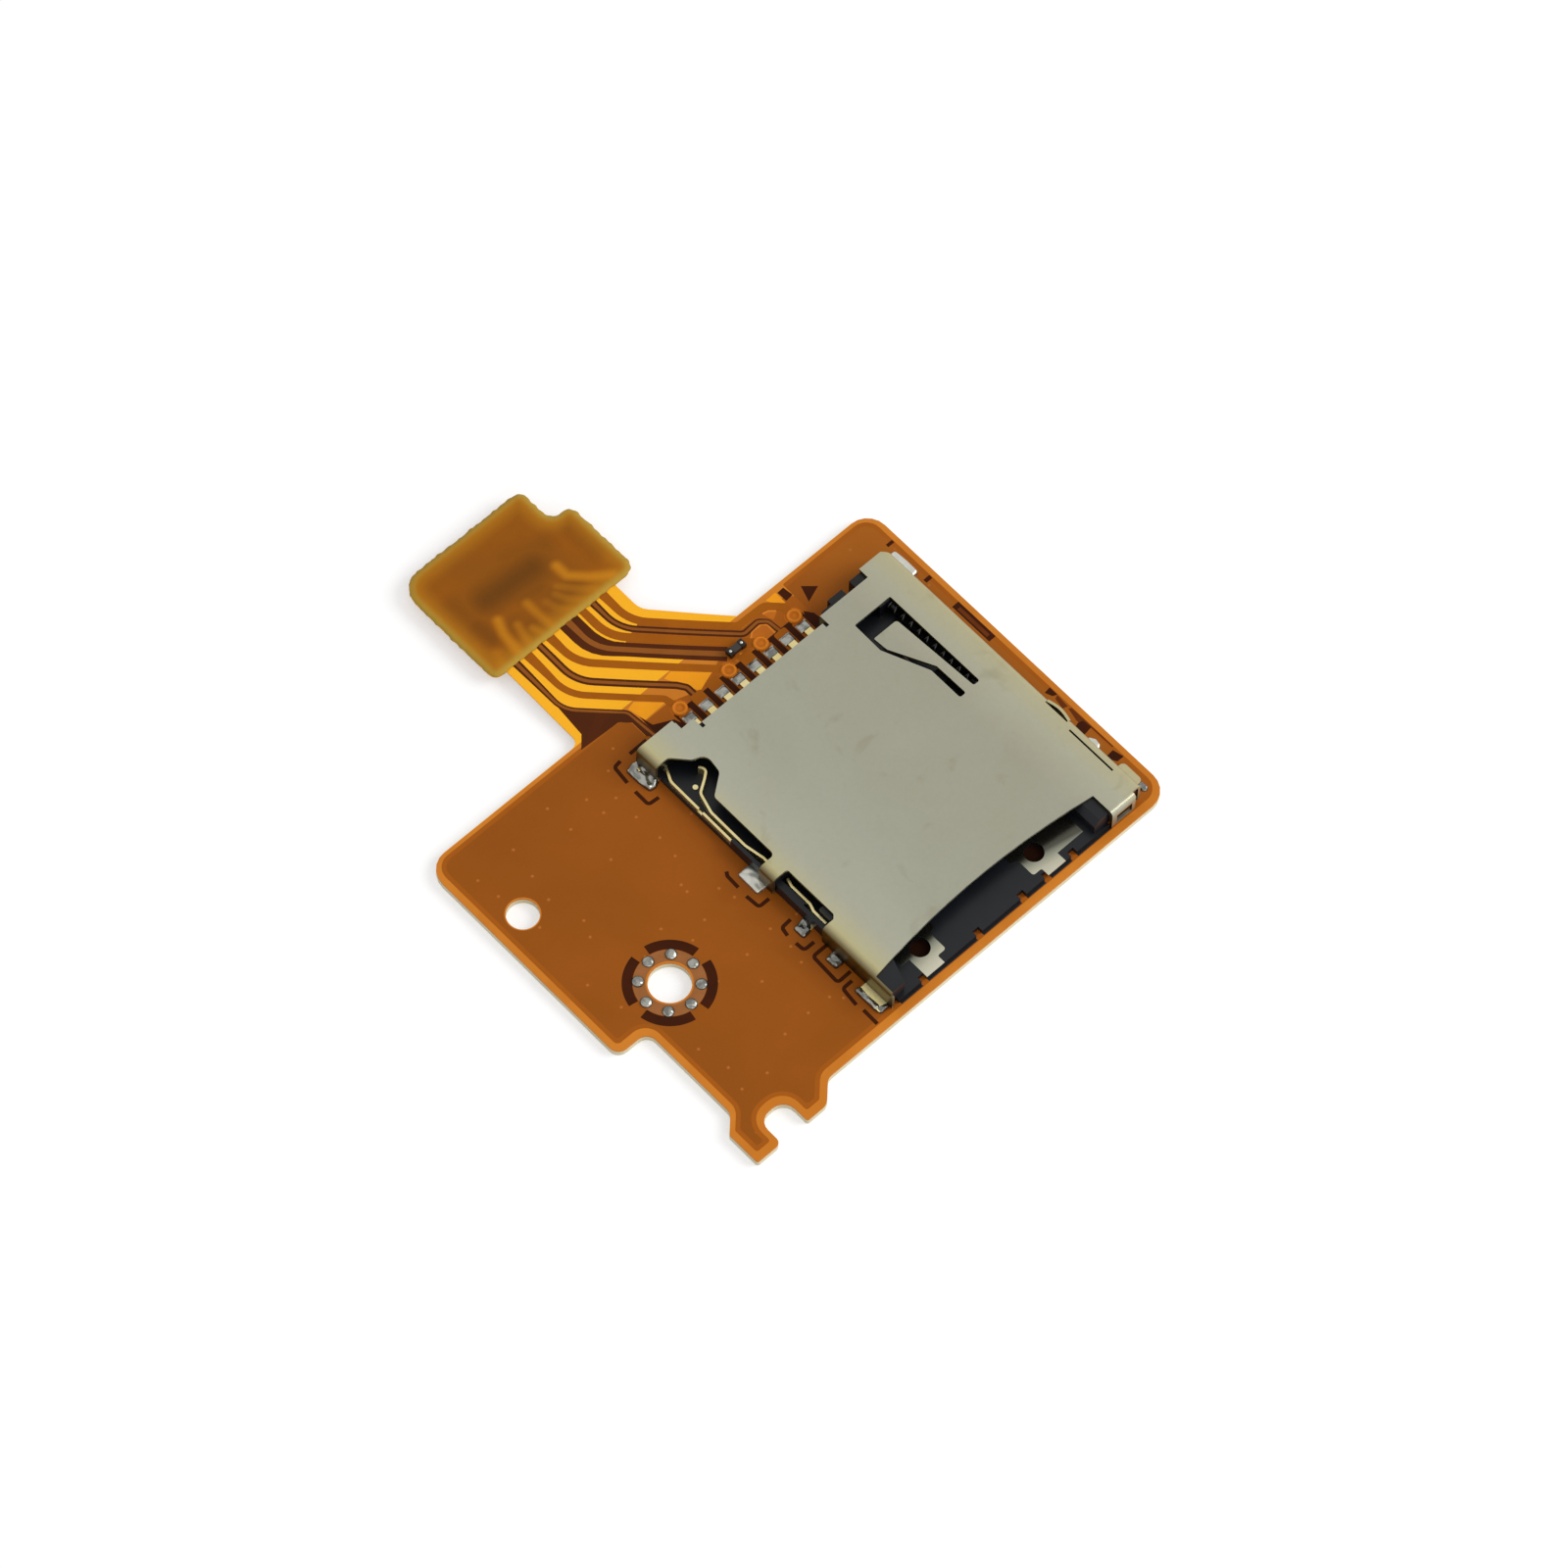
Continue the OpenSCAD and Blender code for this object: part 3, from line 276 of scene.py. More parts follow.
# Finishes of the film, the copper under it and the stiffener
printBase = {  # scale of the blotches, scale and contrast of the grain, strength and depth of the bump
    "blotch": 500.0, "grain": (6000.0, 0.1), "rough": (0.34, 0.46), "bump": (0.1, 0.01),
    "gloss": 0.1,
}
filmFinish = dict(
    printBase, colour=(211, 128, 40), second=(203, 120, 35), blotch=350.0, softness=0.15,
    grain=(5000.0, 0.06), rough=(0.32, 0.42), bump=(0.08, 0.01),
    along=(1, 2.97, 3.0, (253, 180, 36)),  # brighter where no stiffener is behind the film
)
patchFinish = dict(
    printBase, colour=(246, 160, 26), second=(240, 153, 26),
    grain=(5000.0, 0.06), rough=(0.32, 0.42), bump=(0.08, 0.01),
)
pourEdgeFinish = dict(
    printBase, colour=(168, 91, 20), second=(161, 87, 19), blotch=300.0,
    grain=(6000.0, 0.08), rough=(0.36, 0.5), bump=(0.12, 0.01), gloss=0.08,
)
pourFinish = dict(
    pourEdgeFinish, colour=(155, 84, 20), second=(148, 80, 18), blotch=160.0,
    speckColour=(182, 106, 44), specks=(620.0, 0.07, 0.55),
    along=(0, 4.5, 8.0, (166, 94, 26)),  # painted light: the pour is painted paler beyond the socket
)
traceFinish = dict(printBase, colour=(164, 90, 8), second=(156, 84, 8))
darkTraceFinish = dict(printBase, colour=(84, 38, 10), second=(76, 35, 10), gloss=0.07)
coreFinish = dict(printBase, colour=(148, 85, 28), second=(140, 79, 25), rough=(0.32, 0.44))
markFinish = dict(
    printBase, colour=(66, 28, 8), second=(58, 25, 8), blotch=700.0,
    grain=(7000.0, 0.12), rough=(0.4, 0.55), gloss=0.05,
)
softMarkFinish = dict(
    markFinish, colour=(112, 54, 16), second=(102, 48, 14), blotch=900.0, gloss=0.06,
)
# painted shade in the pilot holes
pilotFinish = dict(markFinish, colour=(36, 16, 7), second=(30, 14, 7), rough=(0.5, 0.65), gloss=0.03)
# lighter copper on the raised ring, with a painted highlight on its crest and a darker hollow
viaFinish = dict(
    printBase, colour=(196, 108, 22), second=(182, 100, 20), blotch=1500.0,
    grain=(7000.0, 0.1), rough=(0.28, 0.4), gloss=0.08, effects={"ring": (224, 130, 34)},
)
landFinish = dict(
    printBase, colour=(194, 107, 26), second=(184, 101, 24), blotch=900.0, rough=(0.32, 0.44),
)
# painted highlights along the edges of the copper lands
landEdgeHighlightFinish = dict(landFinish, colour=(222, 132, 44), second=(212, 124, 38))
copperFinish = dict(
    printBase, colour=(159, 101, 56), second=(149, 94, 50), blotch=900.0,
    grain=(5000.0, 0.12), rough=(0.35, 0.5), metal=0.2,
)
stiffenerFinish = {
    "colour": (226, 216, 182), "second": (214, 203, 168), "blotch": 400.0,
    "grain": (4000.0, 0.1), "rough": (0.5, 0.65), "bump": (0.15, 0.02),
}


def pourPaint(tree, colour):
    scale, size, share = pourFinish["specks"]
    specks = placeGroup(tree, speckGroup, Scale=scale, Size=size, Share=share)
    return mixColour(tree, specks.outputs["Mask"], colour, pourFinish["speckColour"])


film = makeFinish("film", filmFinish)
barePatch = makeFinish("barePatch", patchFinish)
pourEdge = makeFinish("pourEdge", pourEdgeFinish)
pour = makeFinish("copperPour", pourFinish, pourPaint)
trace = makeFinish("trace", traceFinish)
darkTrace = makeFinish("darkTrace", darkTraceFinish)
traceCore = makeFinish("traceCore", coreFinish)
mark = makeFinish("mark", markFinish)
softMark = makeFinish("softMark", softMarkFinish)
pilotShade = makeFinish("pilotShade", pilotFinish)
viaSkin = makeFinish("viaSkin", viaFinish)
land = makeFinish("land", landFinish)
landEdgeHighlight = makeFinish("landEdgeHighlight", landEdgeHighlightFinish)
copper = makeFinish("copper", copperFinish)
stiffener = makeFinish("stiffener", stiffenerFinish)


# Finishes of the socket
shellFinish = {
    "colour": (162, 163, 148), "second": (152, 150, 130), "blotch": 190.0,
    "grain": (5000.0, 0.1), "rough": (0.34, 0.44), "bump": (0.05, 0.004), "metal": 0.85,
    "paintedLightTones": [  # painted reflections of the board and painted highlights along the folded edges, with the shell's own tone between, along x, in millimetres
        (-7.56, (72, 56, 20)), (-7.44, (96, 78, 32)), (-7.24, (164, 150, 100)), (-7.05, (186, 177, 128)),
        (-6.6, (181, 176, 141)), (-5.7, (170, 169, 151)), (-2.5, (160, 160, 143)), (6.0, (157, 155, 137)),
        (8.1, (172, 170, 147)), (9.05, (180, 173, 136)), (9.45, (190, 178, 132)),
    ],
    "paintedLightShare": 0.75,
    "stainColour": (128, 118, 90), "stains": (520.0, 0.68, 0.08), "stainShare": 0.26,
    "undersideShadeColour": (44, 38, 28), "inside": (-0.3, -0.8),
    "tabPaintedLight": (252, 240, 176), "tabBelow": (0.78, 0.66), "tabFrom": (-7.4, -7.65),
    "wallReflectionColour": (108, 92, 42), "wallFootShadeColour": (56, 36, 12), "wallFrom": (1.55, 0.6), "facing": (0.55, 0.98),
}
# the slider's black plastic, painted darker as the shade in the shell's slot
sliderShadeFinish = {
    "colour": (9, 9, 10), "second": (7, 7, 8), "blotch": 700.0,
    "grain": (9000.0, 0.2), "rough": (0.4, 0.55), "bump": (0.15, 0.006), "gloss": 0.15,
}
baseFinish = dict(
    sliderShadeFinish, colour=(17, 19, 24), second=(13, 15, 19), rough=(0.3, 0.45), gloss=0.3,
    along=(1, -1.3, -1.0, (6, 7, 8)),  # painted shade: the lugs behind the shell are in the open and are darkened to look no paler
)
goldFinish = {
    "colour": (226, 212, 158), "second": (214, 196, 134), "blotch": 900.0,
    "grain": (9000.0, 0.08), "rough": (0.22, 0.34), "bump": (0.05, 0.004), "metal": 0.9,
}
plateFinish = {
    "colour": (206, 202, 186), "second": (196, 190, 170), "blotch": 700.0,
    "grain": (4000.0, 0.06), "rough": (0.17, 0.25), "bump": (0.01, 0.002), "metal": 0.95,
    "paintedLightTones": [  # painted shade under the shell's edge, past the shade line, in millimetres
        (-1.3, (202, 198, 178)), (-0.7, (180, 177, 155)), (-0.35, (148, 148, 130)), (-0.12, (118, 119, 106)),
        (0.08, (58, 60, 52)), (0.3, (56, 56, 49)), (1.25, (70, 68, 60)), (2.0, (190, 186, 170)),
    ],
    "paintedLightShare": 0.92, "shadeLeft": (-16.69, -0.05), "shadeRight": (-16.37, 0.2),
}
# steel painted dark as the shade inside the slot and under the shell
springShadeFinish = {
    "colour": (72, 70, 66), "second": (60, 58, 55), "blotch": 900.0,
    "grain": (9000.0, 0.1), "rough": (0.3, 0.42), "bump": (0.05, 0.004), "metal": 1.0,
}
solderFinish = {
    "colour": (160, 160, 152), "second": (112, 113, 108), "blotch": 2300.0, "softness": 0.12,
    "grain": (5000.0, 0.25), "rough": (0.12, 0.34), "bump": (0.35, 0.02), "metal": 0.95,
}
padSolderFinish = {
    "colour": (206, 206, 196), "second": (190, 190, 180), "blotch": 1500.0,
    "grain": (5000.0, 0.12), "rough": (0.26, 0.4), "bump": (0.12, 0.01), "metal": 0.9,
}
# painted reflection: the chip's metal ends are painted dark as the dark surroundings they mirror
chipEndFinish = {
    "colour": (52, 51, 47), "second": (40, 39, 36), "blotch": 3000.0, "softness": 0.15,
    "grain": (7000.0, 0.2), "rough": (0.12, 0.24), "bump": (0.2, 0.01), "metal": 0.9,
}
chipFinish = {
    "colour": (40, 33, 28), "second": (33, 28, 25), "blotch": 2500.0,
    "grain": (9000.0, 0.15), "rough": (0.35, 0.5), "bump": (0.1, 0.005),
}


def shellPaint(tree, colour):
    spec = shellFinish
    # painted reflections and highlights along the folded edges, laid over the shell's colour
    colour = mixColour(tree, spec["paintedLightShare"], colour, rampAlong(tree, axisValue(tree, 0), spec["paintedLightTones"]))
    scale, edge, softness = spec["stains"]
    stains = placeGroup(tree, blotchGroup, Scale=scale, Edge=edge, Softness=softness)
    faint = mathNode(tree, "MULTIPLY", stains.outputs["Mask"], spec["stainShare"])
    colour = mixColour(tree, faint, colour, spec["stainColour"])
    # painted light: the low tabs beside the walls are brightened
    lowDown = axisMask(tree, 2, *spec["tabBelow"])
    litTabs = mathNode(tree, "MULTIPLY", lowDown, axisMask(tree, 0, *spec["tabFrom"]))
    colour = mixColour(tree, litTabs, colour, spec["tabPaintedLight"])
    # painted reflection of the board on the walls, with painted shade darker towards their feet
    foot = axisMask(tree, 2, *spec["wallFrom"])
    reflectedWall = mixColour(tree, foot, spec["wallReflectionColour"], spec["wallFootShadeColour"])
    geometry = addNode(tree, "ShaderNodeNewGeometry")
    split = addNode(tree, "ShaderNodeSeparateXYZ")
    tree.links.new(geometry.outputs["Normal"], split.inputs[0])
    sideways = rangeNode(tree, mathNode(tree, "ABSOLUTE", split.outputs[0], 0.0), *spec["facing"])
    colour = mixColour(tree, sideways, colour, reflectedWall)
    # painted shade on the shell's underside
    under = rangeNode(tree, split.outputs[2], *spec["inside"])
    return mixColour(tree, under, colour, spec["undersideShadeColour"])


def platePaint(side):  # painted shade and reflection of the shell's dark underside: dimmer towards the inside, past a slanting line under the shell's edge
    line, lean = plateFinish[side]

    def paint(tree, colour):
        slanted = mathNode(tree, "MULTIPLY", axisValue(tree, 0), lean)
        past = mathNode(tree, "SUBTRACT", mathNode(tree, "ADD", axisValue(tree, 1), slanted), line * mm)
        return mixColour(tree, plateFinish["paintedLightShare"], colour, rampAlong(tree, past, plateFinish["paintedLightTones"]))

    return paint


shellMetal = makeFinish("shellMetal", shellFinish, shellPaint)
basePlastic = makeFinish("basePlastic", baseFinish)
shadedBlackPlastic = makeFinish("shadedBlackPlastic", sliderShadeFinish)
gold = makeFinish("gold", goldFinish)
leftPlate = makeFinish("leftPlate", plateFinish, platePaint("shadeLeft"))
rightPlate = makeFinish("rightPlate", plateFinish, platePaint("shadeRight"))
shadedSteel = makeFinish("shadedSteel", springShadeFinish)
solder = makeFinish("solder", solderFinish)
padSolder = makeFinish("padSolder", padSolderFinish)
chipCeramic = makeFinish("chipCeramic", chipFinish)
chipEnd = makeFinish("chipEnd", chipEndFinish)
print("finishes made")


# The carried nodes keep their shapes and take the finishes, with broken edges
carried = {
    "flex_board": (film, 0.0), "board_stiffener": (stiffener, 0.02),
    "plug_housing": (basePlastic, 0.03), "plug_contacts": (gold, 0.008), "plug_anchors": (gold, 0.01),
    "socket_shell": (shellMetal, 0.02), "socket_base": (basePlastic, 0.018),
    "detect_lever": (gold, 0.012), "detect_contact": (gold, 0.012), "lock_leaf": (gold, 0.012),
    "ground_plate_left": (leftPlate, 0.01), "ground_plate_right": (rightPlate, 0.01),
    "eject_slider": (shadedBlackPlastic, 0.02), "cam_pin": (shadedSteel, 0.0),
    "chip_body": (chipCeramic, 0.03), "chip_ends": (chipEnd, 0.1),
}
carried.update({"contact_%d" % i: (gold, 0.012) for i in range(1, 9)})
brokenEdge = {"segments": 2, "angle": 40.0}


def dressNode(name, material, width):
    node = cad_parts[name]
    node.data.materials.clear()
    node.data.materials.append(material)
    if width:
        bevel = node.modifiers.new("brokenEdge", "BEVEL")
        bevel.width = width * mm
        bevel.segments = brokenEdge["segments"]
        bevel.limit_method = "ANGLE"
        bevel.angle_limit = math.radians(brokenEdge["angle"])
        bevel.harden_normals = False


for nodeName, (material, width) in carried.items():
    dressNode(nodeName, material, width)
print("nodes dressed:", len(carried))


# Plans: flat outlines in millimetres, laid on the film
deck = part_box("chip_body")[0].z / mm
tail = {"rootY": 3.0, "tabY": 8.4, "rise": 0.2, "steps": 10}
# pieces of an arc, the half angle that counts as straight and the least radius of a moved corner
rounding = {"pieces": 7, "straight": 1.55, "least": 0.14}
weldDistance = 1e-6  # a cut this near to a point goes through the point


def tailRise(step):
    return tail["rise"] * (1 - math.cos(math.pi * step / tail["steps"])) / 2


def filmZ(y):  # top of the film, which climbs along the tail
    along = (y - tail["rootY"]) / (tail["tabY"] - tail["rootY"]) * tail["steps"]
    along = min(max(along, 0.0), float(tail["steps"]))
    step = min(int(along), tail["steps"] - 1)
    share = along - step
    return deck + tailRise(step) * (1 - share) + tailRise(step + 1) * share


def cornerArc(before, corner, after, radius):
    a, b, c = (Vector(p[:2]) for p in (before, corner, after))
    u, v = (a - b).normalized(), (c - b).normalized()
    half = math.acos(max(-1.0, min(1.0, u.dot(v)))) / 2
    if radius <= 0 or half > rounding["straight"]:
        return [tuple(b)]
    middle = b + (u + v).normalized() * radius / math.sin(half)
    first = b + u * radius / math.tan(half) - middle
    last = b + v * radius / math.tan(half) - middle
    start = math.atan2(first.y, first.x)
    turn = math.atan2(first.x * last.y - first.y * last.x, first.dot(last))
    pieces = rounding["pieces"]
    angles = [start + turn * k / pieces for k in range(pieces + 1)]
    return [(middle.x + radius * math.cos(t), middle.y + radius * math.sin(t)) for t in angles]


def roundOff(corners):  # closed outline of (x, y, radius)
    count = len(corners)
    outline = []
    for i, corner in enumerate(corners):
        outline += cornerArc(corners[i - 1], corner, corners[(i + 1) % count], corner[2])
    return outline


def inset(corners, amount):  # corners listed counter-clockwise, moved inwards
    moved = []
    count = len(corners)
    for i, corner in enumerate(corners):
        a, b, c = (Vector(p[:2]) for p in (corners[i - 1], corner, corners[(i + 1) % count]))
        into, away = (b - a).normalized(), (c - b).normalized()
        left = Vector((-into.y, into.x))
        middle = (left + Vector((-away.y, away.x))).normalized()
        place = b + middle * amount / middle.dot(left)
        bend = into.x * away.y - into.y * away.x
        radius = max(corner[2] - amount, rounding["least"]) if bend > 0 else corner[2] + amount
        moved.append((place.x, place.y, radius))
    return moved


def ribbon(corners):  # outline of a band along (x, y, width, radius)
    line = []
    for i, (x, y, width, radius) in enumerate(corners):
        inner = 0 < i < len(corners) - 1
        arc = cornerArc(corners[i - 1], corners[i], corners[i + 1], radius) if inner else [(x, y)]
        line += [(Vector(p), width) for p in arc]
    left, right = [], []
    for i, (p, width) in enumerate(line):
        ahead = line[min(i + 1, len(line) - 1)][0] - line[max(i - 1, 0)][0]
        side = Vector((-ahead.y, ahead.x)).normalized() * width / 2
        left.append(tuple(p + side))
        right.append(tuple(p - side))
    return left + right[::-1]


def circle(x, y, radius, count=48):
    angles = [2 * math.pi * k / count for k in range(count)]
    return [(x + radius * math.cos(t), y + radius * math.sin(t)) for t in angles]


def box(x0, x1, y0, y1):
    return [(x0, y0), (x1, y0), (x1, y1), (x0, y1)]


def addPiece(name, bm, material, smooth=False):
    bmesh.ops.recalc_face_normals(bm, faces=bm.faces)
    bmesh.ops.scale(bm, vec=(mm, mm, mm), verts=bm.verts)
    mesh = bpy.data.meshes.new(name)
    bm.to_mesh(mesh)
    bm.free()
    piece = addObject(name, mesh)
    mesh.materials.append(material)
    for polygon in mesh.polygons:
        polygon.use_smooth = smooth
    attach(piece, "board")
    return piece


def bridge(bm, first, second):  # band of faces between two closed rings
    for k in range(len(first)):
        j = (k + 1) % len(first)
        bm.faces.new((first[k], first[j], second[j], second[k]))


def cutAcross(bm, place, normal):
    everything = bm.verts[:] + bm.edges[:] + bm.faces[:]
    bmesh.ops.bisect_plane(bm, geom=everything, dist=weldDistance, plane_co=place, plane_no=normal)


def layer(plan, name, shapes, material):  # thin print that follows the film
    thick = plan["thick"] * plan["levels"][name]
    bm = bmesh.new()
    for shape in shapes:  # an outline, or a list of an outline and its holes
        loops = shape if isinstance(shape[0], list) else [shape]
        rings = [[Vector((x, y, 0.0)) for x, y in loop] for loop in loops]
        points = [p for ring in rings for p in ring]
        top = [bm.verts.new((p.x, p.y, 1.0)) for p in points]
        low = [bm.verts.new((p.x, p.y, 0.0)) for p in points]
        for a, b, c in tessellate_polygon(rings):
            bm.faces.new((top[a], top[b], top[c]))
            bm.faces.new((low[c], low[b], low[a]))
        first = 0
        for ring in rings:
            last = first + len(ring)
            bridge(bm, low[first:last], top[first:last])
            first = last
    stepLength = (tail["tabY"] - tail["rootY"]) / tail["steps"]
    for step in range(tail["steps"] + 1):
        cutAcross(bm, (0, tail["rootY"] + stepLength * step, 0), (0, 1, 0))
    for vert in bm.verts:
        vert.co.z = filmZ(vert.co.y) + thick * vert.co.z
    addPiece(name, bm, material)


# Copper pour under the film, with the film's rim left bright round it
board = {
    "corners": [
        (10.87, 3.0, 1.2), (-19.08, 3.0, 1.2), (-19.08, -11.0, 0.6), (-17.13, -11.0, 0.6),
        (-17.13, -16.95, 0.6), (-17.98, -17.8, 0.15), (-17.98, -19.8, 0.15), (-16.43, -19.8, 0.3),
        (-16.43, -18.15, 0.72), (-14.68, -18.15, 0.72), (-14.68, -19.8, 0.15), (-13.38, -19.8, 0.6),
        (-12.38, -18.8, 0.6), (10.87, -18.8, 1.2),
    ],
    "rim": 0.33, "halo": 0.24, "shift": (0.02, 0.1),
    "screw": (-14.55, -9.81), "screwClear": 1.32, "locate": (-17.3, -2.15), "locateClear": 0.92,
    # where the pour stops round the tail's root and the contact tails
    "rootStart": (4.72, 0.1), "edgeBend": (-6.68, 2.53, 0.2), "edgeEnd": (-9.1, 0.2), "pourEnd": (-6.6, 0.1),
    "root": [
        (4.72, 1.0, 0.15), (4.3, 0.55, 0.1), (4.3, -0.5, 0.0), (-5.7, -0.5, 0.0),
        (-5.7, 0.6, 0.1), (-6.18, 1.06, 0.1), (-6.18, 2.06, 0.15),
    ],
    "rootCopper": [
        (4.72, -0.5), (4.72, 1.9), (4.0, 2.3), (0.6, 2.3), (-1.2, 1.5), (-2.4, 1.15), (-4.1, 1.7),
        (-6.0, 1.7), (-6.0, -0.5),
    ],
    "traceFill": [  # closes the gaps of the traces
        (-2.15, 6.0), (1.55, 2.3), (0.6, 2.3), (0.05, 2.05), (-3.48, 5.58), (-2.85, 5.8),
    ],
    "barePatches": [
        [(-2.78, 2.93), (-1.32, 1.5), (-2.44, 1.1), (-3.3, 2.83)],
        [(-5.3, 2.9), (-4.17, 1.8), (-5.56, 1.75), (-5.8, 2.78)],
        [(3.46, 2.66), (4.13, 2.69), (4.12, 1.9), (3.7, 2.2)],
    ],
    "thick": 0.006, "levels": {  # height of each layer as a share of the thickness, here and below
        "pourEdge": 0.6, "copperPour": 1.0, "rootCopper": 0.3, "traceFill": 0.2, "barePatches": 0.45,
    },
}


def pourOutline(amount, bends, end):  # the copper lies a little off the film's outline
    dx, dy = board["shift"]
    rim = [(x + dx, y + dy, radius) for x, y, radius in inset(board["corners"], amount)]
    level = rim[0][1]
    (startX, startRadius), (endX, endRadius) = board["rootStart"], end
    root = [(startX, level, startRadius)] + board["root"] + bends + [(endX, level, endRadius)]
    return roundOff(rim[:1] + root + rim[1:])


def addPour():
    holes = [circle(*board["screw"], board["screwClear"]), circle(*board["locate"], board["locateClear"])]
    edge = pourOutline(board["rim"], [board["edgeBend"]], board["edgeEnd"])
    layer(board, "pourEdge", [[edge] + holes], pourEdge)
    middle = pourOutline(board["rim"] + board["halo"], [], board["pourEnd"])
    layer(board, "copperPour", [[middle] + holes], pour)
    layer(board, "rootCopper", [board["rootCopper"]], pourEdge)
    layer(board, "traceFill", [board["traceFill"]], pourEdge)
    layer(board, "barePatches", board["barePatches"], barePatch)


addPour()


# Traces: (x, y, width, corner radius) from the tab towards the contact tails
traces = {
    "brown": [
        [(-2.395, 8.4, 0.5, 0), (-2.395, 6.385, 0.43, 2.2), (1.45, 2.54, 0.42, 0.5), (3.2, 2.5, 0.42, 0.5),
         (3.85, 1.85, 0.42, 0.3), (3.87, 1.0, 0.5, 0)],
        [(-3.765, 8.4, 0.43, 0), (-3.765, 6.455, 0.46, 2.2), (1.15, 1.54, 0.5, 0.2), (1.63, 1.0, 0.6, 0)],
        [(-5.975, 8.4, 0.51, 0), (-5.975, 6.475, 0.43, 2.2), (-0.95, 1.45, 0.42, 0.2), (-0.6, 1.0, 0.5, 0)],
        [(-7.475, 8.4, 0.53, 0), (-7.475, 5.415, 0.37, 2.2), (-4.05, 1.99, 0.37, 0.3), (-3.87, 1.0, 0.45, 0)],
    ],
    "dark": [
        [(-3.08, 8.4, 0.44, 0), (-3.08, 6.44, 0.38, 2.2), (1.36, 2.0, 0.38, 0.4), (2.35, 2.06, 0.34, 0.3),
         (2.74, 1.72, 0.3, 0.3), (2.84, 0.7, 0.3, 0)],
        [(-4.7, 8.4, 1.15, 0), (-4.7, 7.33, 1.15, 0), (-4.66, 6.9, 1.13, 0), (-4.53, 6.49, 1.06, 0),
         (-4.33, 6.11, 0.95, 0), (-4.06, 5.77, 0.83, 0), (-3.6, 5.31, 0.77, 0), (-0.03, 1.73, 0.82, 0)],
        [(-6.675, 8.4, 0.41, 0), (-6.675, 5.715, 0.42, 2.2), (-3.1, 2.14, 0.42, 0.4), (-2.8, 1.7, 0.4, 0.3),
         (-2.78, 0.5, 0.4, 0)],
        [(-8.215, 8.4, 0.45, 0), (-8.215, 4.925, 0.3, 1.6), (-5.95, 2.66, 0.3, 0.5), (-5.82, 0.75, 0.4, 0)],
    ],
    "core": [
        [(-3.08, 8.4, 0.2, 0), (-3.08, 6.44, 0.15, 2.2), (1.36, 2.0, 0.15, 0.4), (2.35, 2.06, 0.16, 0.3),
         (2.74, 1.72, 0.16, 0.3), (2.84, 0.8, 0.16, 0)],
        [(-4.72, 8.4, 0.36, 0), (-4.72, 6.42, 0.29, 2.2), (-0.01, 1.71, 0.31, 0)],
        [(-6.675, 8.4, 0.18, 0), (-6.675, 5.715, 0.17, 2.2), (-3.1, 2.14, 0.17, 0.4), (-2.8, 1.7, 0.16, 0.3),
         (-2.78, 0.9, 0.16, 0)],
        [(-8.215, 8.4, 0.2, 0), (-8.215, 4.925, 0.14, 1.6), (-5.95, 2.66, 0.12, 0.5), (-5.82, 0.8, 0.14, 0)],
    ],
    "thick": 0.008, "levels": {"traces": 1.0, "darkTraces": 0.8, "traceCores": 1.3},
}


def addTraces():
    for name, key, material in (
            ("traces", "brown", trace), ("darkTraces", "dark", darkTrace), ("traceCores", "core", traceCore)):
        layer(traces, name, [ribbon(corners) for corners in traces[key]], material)


addTraces()


